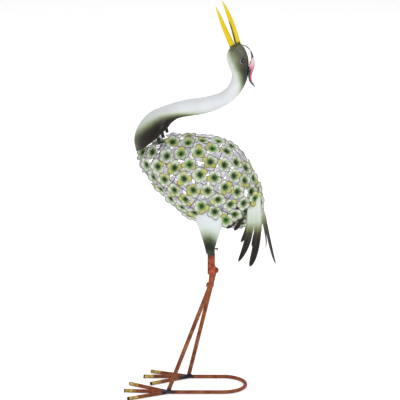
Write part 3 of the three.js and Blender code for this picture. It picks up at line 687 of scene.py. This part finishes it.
def add_flowers(front, back):
    along, angle, ring_of = flower_places()
    centres = body_point(along, angle)
    tailward, around = body_slopes(along, angle)
    tailward = unit(tailward)
    normal = unit(np.cross(tailward, around))
    outward = (normal * (centres - BODY["centre"])).sum(-1, keepdims=True)
    normal = np.where(outward < 0, -normal, normal)
    shift_blooms(centres, normal)
    across = unit(np.cross(tailward, normal))
    tailward = np.cross(normal, across)
    blooms, bosses, all_uv, slots = [], [], [], []
    for i in range(len(along)):
        chance = np.random.default_rng(FIRST_SEED + i)
        ring = np.flatnonzero(ring_of == ring_of[i])
        place = int(np.flatnonzero(ring == i)[0])
        aim = np.zeros(3)
        for shift in (1, -1):
            other = ring[(place + shift) % len(ring)]
            if other != i:
                aim += unit(centres[other] - centres[i])
        spin = math.atan2(aim @ tailward[i], aim @ across[i])
        spin += chance.uniform(-SPIN_PLAY, SPIN_PLAY)
        axes = (across[i], tailward[i], normal[i])
        *bloom, uv, sides = flower(centres[i], *axes, chance, spin)
        blooms.append(bloom)
        all_uv.append(uv)
        slots.extend(sides)
        points, faces = lathe(BOSS, BOSS_SIDES, centres[i], *axes)
        bosses.append((points, faces, masks_for(points, 0.05, 0, 0, 0.2)))
    make_piece("flower_petals", *joined(blooms), front, "petal_paint", ["flower_shell"],
               np.concatenate(all_uv), back=back, face_slots=slots, sharp=60)
    points, faces, masks = joined(bosses)
    make_piece("flower_hearts", points, faces, masks, front, "petal_paint",
               uv=np.zeros((len(points), 2)))


WIRE_RADIUS = 0.9
WIRE_DEPTH = 0.965
WIRE_SIDES = 8
HOOPS = (-120, -70, -10, 50, 100)
HOOP_STEPS = 73
RIBS = 8
RIB_STEPS = 60
RIB_ENDS = (-150, 134)


def add_cage(paint):
    """The thin wires inside the flowers: hoops across the egg and ribs along it"""
    round_egg, lengthwise = np.linspace(0, TURN, HOOP_STEPS), np.linspace(*RIB_ENDS, RIB_STEPS)
    wires = [(np.full(HOOP_STEPS, float(along)), round_egg, (0.3, 0.2, 1)) for along in HOOPS]
    wires += [(lengthwise, np.full(RIB_STEPS, (rib + 0.5) / RIBS * TURN), (0.1, 1, 0.2))
              for rib in range(RIBS)]
    parts = []
    for along, angles, across in wires:
        path = body_point(along, angles, WIRE_DEPTH)
        points, faces, _ = tube(path, WIRE_RADIUS, WIRE_SIDES, 0.2, across)
        parts.append((points, faces, masks_for(points)))
    make_piece("cage_wires", *joined(parts), paint, "petal_paint")


# Neck and head

# Each section has its point on the throat, its point on the nape and its half width
NECK_SECTIONS = [
    ((-136, 535.2), (-61, 598), 45),
    ((-139.5, 561), (-57, 601.5), 43),
    ((-130, 590), (-52, 604), 36),
    ((-107, 616), (-46, 607), 28),
    ((-70, 633), (-33, 610), 20),
    ((-30, 645), (-12, 613), 16.5),
    ((12, 651.5), (20, 619.5), 15.5),
    ((47.5, 663), (58, 636.5), 15),
    ((63, 680), (83, 659.5), 14.5),
    ((68, 699), (97.5, 686), 15.5),
    ((62, 719), (102, 711), 18),
    ((57, 738), (101.5, 734), 18.5),
    ((59.5, 751), (95.5, 754), 16),
    ((65, 758.5), (86.5, 767), 10),
]
NECK_SHEET = 1.2
ORBIT_RADIUS = 8.5
# Where the dark paint starts between throat (0) and nape (1), and how dark it is, at each section
DARK_STARTS = [-0.12, -0.02, 0.26, 0.46, 0.64, 0.82, 0.98, 1.2, 0.96, 0.68, 0.48, 0.38, 0.16, -0.4]
DARK_DEPTHS = [0.90, 1.0, 1.0, 0.95, 0.8, 0.5, 0.28, 0.0, 0.5, 0.9, 0.97, 0.95, 0.95, 1.0]
DARK_SOFTNESS = [0.50, 0.46, 0.50, 0.50, 0.46, 0.40, 0.3, 0.3, 0.56, 0.60, 0.56, 0.52, 0.4, 0.35]


def in_plane(pairs):
    return np.array([(x, 0, z) for x, z in pairs], float)


THROAT = in_plane([section[0] for section in NECK_SECTIONS])
NAPE = in_plane([section[1] for section in NECK_SECTIONS])
HALF_WIDTHS = [(i, section[2], 0) for i, section in enumerate(NECK_SECTIONS)]


def eye_place(leg):
    return centre_of("eye_" + leg["name"]) - SHIFT


def add_neck(paint):
    """The neck and head as one sheet tube. Gives its grid of points, on which the eyes sit"""
    rows, columns = 150, 56
    parts = np.linspace(0, 1, rows)
    throat, nape = catmull(THROAT, parts), catmull(NAPE, parts)
    half = catmull(HALF_WIDTHS, parts)[:, 1]
    centre, deep = (throat + nape) / 2, (nape - throat) / 2
    angles = np.arange(columns) / columns * TURN
    grid = (centre[:, None] + deep[:, None] * np.cos(angles)[None, :, None]
            + half[:, None, None] * np.sin(angles)[None, :, None] * np.array([0, 1, 0]))

    across = (1 + np.cos(angles)) / 2
    stations = parts * (len(NECK_SECTIONS) - 1)
    start, depth, soft = (np.interp(stations, np.arange(len(values)), values)[:, None]
                          for values in (DARK_STARTS, DARK_DEPTHS, DARK_SOFTNESS))
    dark = smooth_step(-1, 1, (across[None] - start) / soft) * depth
    face = smooth_step(9.9, 11.2, stations)[:, None]
    hind = np.exp(-(((stations - 10) / 1.1) ** 2))[:, None] * smooth_step(0.62, 0.9, across)[None]
    away = np.min([np.linalg.norm(grid - eye_place(leg), axis=-1) for leg in LEGS], axis=0)
    orbit = np.exp(-((away / ORBIT_RADIUS) ** 2))
    masks = np.stack(np.broadcast_arrays(dark, face, hind, orbit), -1).reshape(-1, 4)

    points = grid.reshape(-1, 3)
    points = np.vstack([points, points[-columns:].mean(0)])
    masks = np.vstack([masks, masks[-1]])
    first = (rows - 1) * columns
    faces = [quad[::-1] for quad in grid_faces(rows, columns, wrap=True)]
    faces += [(first + (j + 1) % columns, first + j, len(points) - 1) for j in range(columns)]
    make_piece("neck_and_head", points, faces, masks, paint, "neck_paint", ["neck_head"],
               thickness=NECK_SHEET, closed=False, sharp=50)
    return grid


def bezier(root, middle, tip, parts):
    """Places and directions along a bent line through three points of the middle plane"""
    root, middle, tip = in_plane([root, middle, tip])
    pull = 2 * middle - (root + tip) / 2
    parts = np.asarray(parts, float)[:, None]
    place = (1 - parts) ** 2 * root + 2 * parts * (1 - parts) * pull + parts**2 * tip
    slope = 2 * (1 - parts) * (pull - root) + 2 * parts * (tip - pull)
    return place, unit(slope)


# back says on which side a mandible's ridge is, olive how far the olive paint reaches, and the last
# key how dark the painted shadow along its inner face is
BEAKS = {
    "beak_upper": {"line": [(80.4, 765.8), (63.5, 820), (46, 860)], "back": 1, "olive": 0.09,
                   "gap_shadow": 1},
    "beak_lower": {"line": [(68.7, 761.2), (50.4, 804.5), (33, 848)], "back": -1, "olive": 0.07,
                   "gap_shadow": 0.25},
}
BEAK_HALF = 5.9
BEAK_HALF_WIDTH = 5.2
BEAK_TAPER = 2.8


def signed_power(value, power):
    return math.copysign(abs(value) ** power, value)


def add_beak(name, paint):
    """A mandible folded from sheet: a ridged back, and a hollow face towards the other mandible"""
    spec = BEAKS[name]
    rows, columns = 40, 24
    parts = np.linspace(0, 1, rows)
    place, along = bezier(*spec["line"], parts)
    deep = np.cross([0, 1, 0], along)
    deep = deep * np.sign(deep[0][0]) * spec["back"]
    throat, nape = THROAT[-1], NAPE[-1]
    face = unit(np.cross(nape - throat, [0, 1, 0]))
    size = 1 - 0.93 * parts**BEAK_TAPER
    points, masks = [], []
    for i, part in enumerate(parts):
        for angle in np.arange(columns) / columns * TURN:
            back, side = math.cos(angle), math.sin(angle)
            swell = 0.22 * max(-back, 0) * (1 - smooth_step(0, 0.35, part))
            fold = 0.16 * max(-back, 0) ** 8
            depth = (signed_power(back, 0.9) * (1 + swell) + fold) * BEAK_HALF
            width = signed_power(side, 0.85) * BEAK_HALF_WIDTH
            point = place[i] + deep[i] * depth * size[i] + np.array([0, width * size[i], 0])
            if i == 0:
                point = point - along[i] * ((point - throat) @ face - 0.2) / (along[i] @ face)
            points.append(point)
            # The first mask is a painted shadow along the inner face, stronger on the upper
            # mandible; the last is painted shade over that face
            gap_shadow = smooth_step(0.0, 0.5, -back) * spec["gap_shadow"]
            masks.append((gap_shadow * (1 - smooth_step(0.35, 0.62, part)),
                          1 - smooth_step(0.0, spec["olive"], part),
                          smooth_step(0.5, 1, part) * 0.6, smooth_step(0.3, 0.9, -back)))
    make_piece(name + "_sheet", np.array(points), capped_faces(rows, columns), masks, paint,
               "beak_paint", [name])


EYE_SIDES = 24
EYE_RING = [(6.3, -0.8), (6.2, 0.3), (5.4, 0.9), (4.5, 0.9), (4.0, 0.2), (3.9, -0.6)]
RING_OFFSET = np.array([-0.7, 0, -0.8])
BEAD_RADIUS = 4.1
BEAD_HEIGHT = 3.3
BEAD_SEAT = -0.6
GLINT_RADIUS = 1.0


def add_eyes(grid, bead_paint, ring_paint):
    """A black bead in a raised painted ring on each cheek, where the solid's eyes are"""
    slope_along, slope_round = np.gradient(grid, axis=(0, 1))
    for leg in LEGS:
        name, target = "eye_" + leg["name"], eye_place(leg)
        distance = np.linalg.norm(grid - target, axis=-1)
        i, j = np.unravel_index(np.argmin(distance), distance.shape)
        normal = unit(np.cross(slope_along[i, j], slope_round[i, j]))
        if normal[1] * leg["side"] < 0:
            normal = -normal
        place = target - normal * ((target - grid[i, j]) @ normal)
        first = unit(np.cross(normal, [0, 0, 1]))
        axes = (first, np.cross(normal, first), normal)
        dome = [(BEAD_RADIUS * math.cos(t), BEAD_SEAT + BEAD_HEIGHT * math.sin(t))
                for t in np.linspace(0, 1.45, 12)]
        points, faces = lathe(dome, EYE_SIDES, place, *axes)
        glint = np.repeat([r < GLINT_RADIUS for r, _ in dome], EYE_SIDES)
        masks = masks_for(points, glint)
        make_piece(name + "_bead", points, faces, masks, bead_paint, "eye", [name])
        points, faces = lathe(EYE_RING, EYE_SIDES, place + RING_OFFSET, *axes)
        make_piece(name + "_ring", points, faces, None, ring_paint, "eye")


# The crest's ridge line, and at each of its points the depth of the fold and the half width
CREST = [
    ((90, 765.5), 1.3, 3.5),
    ((98.5, 762.5), 1.6, 5),
    ((106.5, 755), 2.2, 6.5),
    ((111.5, 745), 3.5, 8),
    ((115, 733), 7, 9.5),
    ((116.2, 721), 11.5, 10),
    ((112.8, 709), 10, 9.5),
    ((109.6, 698), 7.5, 8),
    ((110, 688.5), 5.5, 6),
    ((113.6, 681), 3.6, 4),
    ((117.4, 674.5), 1.4, 1),
]
CREST_SHEET = 0.9


def add_crest(paint):
    rows, columns = 90, 17
    parts = np.linspace(0, 1, rows)
    ridge = catmull(in_plane([place for place, _, _ in CREST]), parts)
    shape = catmull([(i, depth, half) for i, (_, depth, half) in enumerate(CREST)], parts)
    inward = np.cross([0, 1, 0], unit(np.gradient(ridge, axis=0)))
    points, masks = [], []
    for i, part in enumerate(parts):
        depth, half = shape[i, 1] - 0.4, shape[i, 2]
        pink = smooth_step(0.30, 0.40, part) * (1 - smooth_step(0.80, 0.90, part))
        red = smooth_step(0.42, 0.62, part)
        stem = 0.75 * (1 - smooth_step(0.14, 0.2, part))
        patch = smooth_step(0.20, 0.26, part) * (1 - smooth_step(0.33, 0.38, part)) * 0.9
        tail = smooth_step(0.78, 0.92, part) * 0.8
        for side in np.linspace(-1, 1, columns):
            wave = 0.35 * math.sin(part * 95 + 2.2 * abs(side))
            barb = wave * abs(side) ** 3 * smooth_step(0.2, 0.4, part)
            fold = depth * abs(side) ** 1.35
            points.append(ridge[i] + inward[i] * (fold + barb) + np.array([0, half * side, 0]))
            inner = smooth_step(0.45, 0.72, abs(side)) * smooth_step(0.5, 0.62, part)
            masks.append((pink, min(1, patch + tail + stem + inner * 0.9), red, 0))
    faces = [face[::-1] for face in grid_faces(rows, columns)]
    make_piece("crest_feather", np.array(points), faces, masks, paint, "crest_paint", ["crest"],
               thickness=CREST_SHEET, closed=False)


# Plumes: each finger has its length, sweep, lift and bluntness

FLANK_PLUME = {"root_half": 13, "half": 16.5, "swell": 60, "slit": 73, "bend": 2.5, "dark_from": 0,
               "fingers": [(139.5, 24.3, 0, 3), (150, 17.9, 0, 5.5)]}
BELLY_PLUME = {"root_half": 5, "half": 10, "swell": 14, "slit": 24, "bend": 1.6, "dark_from": 0.36,
               "fingers": [(46, 12.7, 3, 5), (44, 7.5, 0, 5)]}
BACK_PLUME = {"root_half": 9, "half": 15, "swell": 30, "slit": 38, "bend": 6, "dark_from": 0.3,
              "fingers": [(95, 1, 7, 4), (138, -2, -3, 4)]}
PLUME_SHEET = 1.0
STRIP_HALF = 0.46  # of the plume's half width
RIDGES = 3.1
PRESS = 0.42
CURL = 1.1


def add_plume(name, spec, root, lengthwise, across, paint):
    """A sheet feather slit into two fingers, with pressed ridges along it"""
    root, lengthwise, across = np.array(root, float), unit(lengthwise), unit(across)
    normal = unit(np.cross(across, lengthwise))
    half, slit, dark_from = spec["half"], spec["slit"], spec["dark_from"]
    longest = max(finger[0] for finger in spec["fingers"])
    rows, slit_rows, columns = 46, 15, 9
    parts, uvs = [], []
    for (length, sweep, lift, blunt), sign in zip(spec["fingers"], (-1, 1)):
        points, masks = [], []
        whole = np.linspace(0, slit, slit_rows + 1)[:-1]
        split = slit + (length - slit) * (1 - np.linspace(1, 0, rows - slit_rows) ** 1.6)
        for s in np.concatenate([whole, split]):
            bend = (max(0, s - slit / 2) / (length - slit / 2)) ** spec["bend"]
            inner, outer = 0.0, mix(spec["root_half"], half, min(1, s / spec["swell"]) ** 0.8)
            if s > slit:
                part = (s - slit) / (length - slit)
                narrow = math.sqrt(max(1 - part**blunt, 0.02))
                middle = half * (0.5 + 0.06 * part)
                outer = middle + half * STRIP_HALF * narrow
                inner = (middle - half * STRIP_HALF * narrow) * smooth_step(0, 0.05, part)
            for place in np.linspace(0, 1, columns):
                w = mix(inner, outer, place)
                ridge = math.cos(w / half * RIDGES * math.pi)
                press = PRESS * ridge * (1 - smooth_step(0.75, 1, s / length)) * smooth_step(0, 8, s)
                curl = CURL * (w / half) ** 2
                height = lift * bend + (press - curl) * min(1, half / 15)
                points.append(root + lengthwise * s + across * (sign * w - sweep * bend)
                              + normal * height)
                masks.append((dark_from + (1 - dark_from) * s / longest, max(ridge, 0) ** 3,
                              smooth_step(0.8, 1, place), 0))
                uvs.append((sign * w / half * 0.5 + 0.5, s / longest))
        faces = [face[::-sign] for face in grid_faces(rows, columns)]
        parts.append((np.array(points), faces, np.array(masks)))
    make_piece(name + "_sheet", *joined(parts), paint, "plume_paint", [name], np.array(uvs),
               thickness=PLUME_SHEET, closed=False)


def add_plumes(paint):
    for leg in LEGS:
        name, side = leg["name"], leg["side"]
        root_x, back = (121, 0.02) if side > 0 else (116, 0)
        add_plume("plume_flank_" + name, FLANK_PLUME, (root_x, side * 37, 443),
                  (back, side * 0.26, -1), (1, 0, 0), paint)
        add_plume("plume_belly_" + name, BELLY_PLUME, (90, side * 40, 410),
                  (-0.33, side * 0.15, -0.93), (0.93, 0, -0.33), paint)
    add_plume("plume_back", BACK_PLUME, (131, 0, 412), (0.2, 0, -0.98), (0.28, 0.96, 0.057), paint)


# Legs and stand


def thigh_radius(z):
    above = max(z - THIGH["waist"], 0)
    return min(THIGH["widest"], THIGH["radius"] + THIGH["slope"] * above + THIGH["flare"] * above**2)


def thigh_point(leg, z, angle):
    bottom, waist = THIGH["bottom"], THIGH["waist"]
    radius = thigh_radius(z)
    x = leg["hip_x"] - THIGH["forward"] * min(1, (z - bottom) / (waist - bottom))
    flat = mix(1, THIGH["flatness"], min(1, (z - bottom) / 60))
    y = leg["side"] * (LEG_Y - THIGH["lean"] * (z - bottom))
    return np.array([x + radius * math.cos(angle), y + radius * flat * math.sin(angle), z])


def add_thigh(leg, paint):
    """A sheet cone that rises until it meets the flowers, all the way round"""
    rows, columns = 30, 64
    grid, shade = np.zeros((rows, columns, 3)), np.zeros((rows, columns))
    for j in range(columns):
        angle = j / columns * TURN
        rim = THIGH["bottom"]
        while rim < THIGH["top"] and outside_body(thigh_point(leg, rim + 1, angle), THIGH["seat"]):
            rim += 1
        outward, ahead = leg["side"] * math.sin(angle), math.cos(angle)
        for i, z in enumerate(np.linspace(THIGH["bottom"], rim, rows)):
            grid[i, j] = thigh_point(leg, z, angle)
            shade[i, j] = (z - THIGH["bottom"] - 9 * outward + 5 * abs(ahead) + 5 * ahead) / 84
    points = grid.reshape(-1, 3)
    make_piece("thigh_cone_" + leg["name"], points, grid_faces(rows, columns, wrap=True),
               masks_for(points, np.clip(shade, 0, 1).ravel()), paint, "thigh_paint",
               ["thigh_" + leg["name"]], thickness=THIGH["sheet"], closed=False)


KNEE_RADII = (8.4, 7.8, 7.6)
SLEEVE_SIDES = 40
SCREW_SIDES = 18
# Radii and distances from its inner end
SCREW_HEAD = [(0.2, 0), (1.7, 0), (1.6, 3.0), (2.1, 3.3), (2.4, 3.7), (2.3, 5.4), (1.6, 6.1)]


def at_leg(leg, x, z):
    return np.array([x, leg["side"] * LEG_Y, z])


def add_leg_rods(leg, paint):
    name, knee = leg["name"], at_leg(leg, *leg["knee"])
    foot = np.array([leg["foot_x"], leg["side"] * RAIL_Y, 2 * BAR_RADIUS - 1.0])
    points, faces, places = tube(np.linspace(foot, knee, 30), LEG_RADIUS)
    weld, red = 1 - smooth_step(2, 14, places), 0.35 * smooth_step(150, 240, places)
    masks = masks_for(points, 0, weld, red)
    make_piece("shin_" + name, points, faces, masks, paint, "red_bar", ["leg_lower_" + name])
    hip, top = (at_leg(leg, leg["hip_x"], SLEEVE[end]) for end in ("bottom", "top"))
    path = np.vstack([np.linspace(knee, hip, 10), np.linspace(hip, top, 8)[1:]])
    points, faces, _ = tube(path, LEG_RADIUS)
    make_piece("shank_" + name, points, faces, masks_for(points, 0, 0, 0.6), paint, "red_bar",
               ["leg_upper_" + name])


def add_knee(leg, paint):
    """A forged ball with painted shade round its rim and a blackened weld spot on top"""
    name, knee = leg["name"], at_leg(leg, *leg["knee"])
    points, faces = lump(knee - np.array([0.4, 0, 0]), KNEE_RADII, 3 + leg["side"], 0.07, 4)
    x, _, z = ((points - knee) / 8).T
    # Painted shade round the ball's outline as it shows from the bird's side; the spot on top is a
    # black weld
    rim = 0.7 * smooth_step(0.62, 0.98, np.hypot(x, z))
    spot = np.exp(-((x + 0.35) ** 2 + (z - 0.95) ** 2) / 0.08)
    masks = masks_for(points, 0, np.maximum(rim, spot), 0.5)
    make_piece("knee_ball_" + name, points, faces, masks, paint, "red_bar", ["knee_" + name])


def add_sleeve(leg, paint):
    low, high, outer, bore = SLEEVE["bottom"], SLEEVE["top"], SLEEVE["radius"], SLEEVE["bore"]
    profile = [(bore, low + 0.6), (bore + 0.6, low), (outer - 0.8, low), (outer, low + 0.8)]
    profile += [(outer, z) for z in np.linspace(low + 3, high - 2, 12)]
    profile += [(outer, high - 0.6), (outer - 0.6, high), (bore + 0.5, high), (bore, high - 0.5)]
    points, faces = lathe(profile, SLEEVE_SIDES, at_leg(leg, leg["hip_x"], 0), bored=True)
    # Painted shade: darker at the top, under the thigh cone, and on the side towards the bird's
    # front
    shade = 1 - smooth_step(1, 17, high - points[:, 2])
    shade = np.maximum(shade, 0.85 * smooth_step(2, 7.5, leg["hip_x"] - points[:, 0]))
    masks = masks_for(points, 0, shade * 0.5, 1, shade * 0.7)
    make_piece("socket_" + leg["name"], points, faces, masks, paint, "red_sleeve",
               ["sleeve_" + leg["name"]])


def add_screw(leg, paint):
    name = leg["name"]
    low, high = (np.array(corner[:]) * 1000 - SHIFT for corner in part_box("screw_" + name))
    middle = (low + high) / 2
    profile = [(r, low[0] - 0.6 + x) for r, x in SCREW_HEAD] + [(0.4, high[0])]
    centre = (0, middle[1], middle[2])
    points, faces = lathe(profile, SCREW_SIDES, centre, (0, 1, 0), (0, 0, 1), (1, 0, 0))
    make_piece("set_screw_" + name, points, faces, masks_for(points), paint, "screw",
               ["screw_" + name])


GOLD_LENGTH = 27
CUT_LENGTH = 2.5  # of the bare dark end
GROUND_RED = 0.22
SIDE_TOES = ("inner", "outer")


def ground_masks(points, from_end, burnt):
    """Gold on top of a toe's end, black at welds and at the cut end, and painted shade on the
    underside
    """
    upward = (points[:, 2] - BAR_RADIUS) / BAR_RADIUS
    gold = 1 - smooth_step(GOLD_LENGTH - 12, GOLD_LENGTH + 6, from_end)
    gold = gold * smooth_step(-0.75, -0.1, upward)
    cut = 1.3 - 1.3 * smooth_step(0, CUT_LENGTH, from_end)
    # Painted shade on the underside of each bar that lies on the ground
    painted_shade = 1 - smooth_step(-0.9, 0.1, upward)
    return masks_for(points, gold, np.maximum(burnt, cut), GROUND_RED, painted_shade)


def foot_joint(leg):
    return np.array([leg["foot_x"], leg["side"] * RAIL_Y, BAR_RADIUS])


def toe_direction(leg, toe):
    angle = math.radians(leg["toes"][toe][1])
    return np.array([-math.cos(angle), -leg["side"] * math.sin(angle), 0])


def toe_path(leg, toe, start=0):
    direction = toe_direction(leg, toe)
    return np.linspace(*(foot_joint(leg) + direction * s for s in (start, leg["toes"][toe][0])), 24)


def add_base_bar(paint):
    """One bar: the left middle toe, its rail, the bend, the right rail and its middle toe"""
    left, right = (foot_joint(leg) for leg in LEGS)
    bend = [(BEND_X + RAIL_Y * math.cos(a), RAIL_Y * math.sin(a), BAR_RADIUS)
            for a in np.linspace(-math.pi / 2, math.pi / 2, 40)]
    left_toe, right_toe = (toe_path(leg, "middle") for leg in LEGS)
    path = np.vstack([left_toe[::-1], np.linspace(left, bend[0], 24)[1:], bend[1:],
                      np.linspace(bend[-1], right, 20)[1:], right_toe[1:]])
    points, faces, places = tube(path, BAR_RADIUS)
    from_end = np.minimum(places, places.max() - places)
    near_joint = np.min([np.linalg.norm(points - joint, axis=1) for joint in (left, right)], axis=0)
    masks = ground_masks(points, from_end, 1 - smooth_step(4, 24, near_joint))
    make_piece("base_bar", points, faces, masks, paint, "red_bar", ["base_rod"])


def add_foot(leg, paint):
    """The side toes, and the beads that weld them to the middle one and all to the leg"""
    for toe in SIDE_TOES:
        points, faces, places = tube(toe_path(leg, toe, 3), BAR_RADIUS)
        burnt = 1 - smooth_step(6, leg["burnt"], places)
        masks = ground_masks(points, places.max() - places, burnt)
        node = f"toe_{leg['name']}_{toe}"
        make_piece(node + "_bar", points, faces, masks, paint, "red_bar", [node])
    beads = [(np.array([1.5, 0, 4.6]), (5.2, 4.6, 2.6))]
    for toe in SIDE_TOES:
        between = (toe_direction(leg, toe) + toe_direction(leg, "middle")) * 6
        beads.append((between + np.array([0, 0, 0.6]), (7, 3.0, 2.4)))
    parts = []
    for i, (offset, radii) in enumerate(beads):
        points, faces = lump(foot_joint(leg) + offset, radii, 11 + i + leg["side"], 0.3)
        parts.append((points, faces, masks_for(points, 0, 1)))
    make_piece("foot_weld_" + leg["name"], *joined(parts), paint, "red_bar")


# Dark bars that stand in for the shadow under the collar's edge, each given by its two ends
COLLAR_SHADOW_BARS = [
    [(-72.6, -24, 593.5), (-69.4, -26, 580)],
    [(-81, -30, 584), (-77.4, -33, 570.3)],
    [(-89, -37, 572.5), (-86, -39, 560.8)],
]
SHADOW_BAR_RADIUS = 3.6


def add_collar_shadow_bars(paint):
    """Small dark bars that stand in for the shadow between the collar's lower edge and the flowers,
    on both sides
    """
    parts = []
    for clip in COLLAR_SHADOW_BARS:
        for side in (-1, 1):
            path = np.linspace(*(np.array(clip) * [1, -side, 1]), 6)
            points, faces, _ = tube(path, SHADOW_BAR_RADIUS, 10, 1)
            parts.append((points, faces, masks_for(points)))
    make_piece("collar_shadow_bars", *joined(parts), paint, "neck_paint")


# Floor, light and camera

FLOOR_HALF = 40
FLOOR_GLOW = 0.42
# Where each square lamp hangs, in metres, its size and its power
LAMPS = {
    "key": ((1.5, -2.6, 3.1), 1.4, 42),
    "fill": ((-2.8, -2.4, 1.8), 2.2, 16),
    "back": ((0.6, 2.8, 2.6), 2.0, 26),
}
LAMP_AIM = (0, 0, 0.45)
SKY_LIGHT = 0.55
INNER_POWER = 0.10
INNER_SIZE = 0.04
CAMERA_PLACE = (0, -5000, 1819.85)
CAMERA_AIM = (0, 0, 424.37)
CAMERA_LENS = 217.12


def add_floor():
    mesh = bpy.data.meshes.new("floor")
    corners = [(x * FLOOR_HALF, y * FLOOR_HALF, 0) for x, y in ((-1, -1), (1, -1), (1, 1), (-1, 1))]
    mesh.from_pydata(corners, [], [(0, 1, 2, 3)])
    floor = add_object("floor", mesh)
    paint = Paint("floor_paint")
    paint.fill(paint.shader, {"Emission Color": (1, 1, 1), "Emission Strength": FLOOR_GLOW})
    color = paint.mottle(3, (0.90, 0.90, 0.90), (0.93, 0.93, 0.93), 2)
    mesh.materials.append(paint.finish(color, (0.85, 0.95), ((40, 0.01, 0.001),)))


def point_at(item, place, aim):
    place = Vector(place)
    item.location = place
    item.rotation_euler = (Vector(aim) - place).to_track_quat("-Z", "Y").to_euler()


def add_lights():
    world = bpy.data.worlds.new("studio")
    bpy.context.scene.world = world
    bpy.context.scene.view_settings.view_transform = "Standard"
    world.use_nodes = True
    background = world.node_tree.nodes["Background"]
    background.inputs["Color"].default_value = (1, 1, 1, 1)
    background.inputs["Strength"].default_value = SKY_LIGHT
    for name, (place, size, power) in LAMPS.items():
        lamp = bpy.data.lights.new(name, "AREA")
        lamp.shape = "SQUARE"
        lamp.size = size
        lamp.energy = power
        point_at(add_object(name, lamp), place, LAMP_AIM)


def add_inner_light():
    """A soft lamp in the hollow body, for the far flowers' backs that show through the gaps"""
    lamp = bpy.data.lights.new("inner", "POINT")
    lamp.shadow_soft_size = INNER_SIZE
    lamp.energy = INNER_POWER
    inner = add_object("inner", lamp)
    inner.location = to_frame(BODY["centre"])
    inner.visible_camera = False


def add_camera():
    lens = bpy.data.cameras.new("camera")
    lens.lens = CAMERA_LENS
    lens.sensor_width = 36
    lens.clip_end = 200
    camera = add_object("camera", lens)
    point_at(camera, to_frame(CAMERA_PLACE), to_frame(CAMERA_AIM))
    bpy.context.scene.camera = camera


add_camera()
add_floor()
add_lights()
add_inner_light()

bar, thigh = bar_paint(), thigh_paint()
screw_metal = mottled_paint("screw_paint", 400, (0.05, 0.018, 0.025), (0.20, 0.035, 0.045),
                            (0.3, 0.5), metallic=0.4)
add_base_bar(bar)
for leg in LEGS:
    add_foot(leg, bar)
for leg in LEGS:
    add_leg_rods(leg, bar)
    add_knee(leg, bar)
    add_sleeve(leg, bar)
    add_screw(leg, screw_metal)
    add_thigh(leg, thigh)
add_flowers(petal_paint(), petal_back())
add_cage(mottled_paint("wire_paint", 120, (0.05, 0.05, 0.055), (0.16, 0.17, 0.13), metallic=0.3))
head_grid = add_neck(neck_paint())
# Near-black paint for the painted shadow under the collar
add_collar_shadow_bars(mottled_paint("collar_shadow_paint", 200, (0.010, 0.009, 0.008), (0.045, 0.042, 0.036),
                               (0.4, 0.6), specular=0.15))
beak = beak_paint()
for beak_name in BEAKS:
    add_beak(beak_name, beak)
eye_ring = mottled_paint("eye_ring_paint", 500, (0.10, 0.09, 0.14), (0.36, 0.33, 0.44), (0.35, 0.5))
add_eyes(head_grid, eye_paint(), eye_ring)
add_crest(crest_paint())
add_plumes(plume_paint())
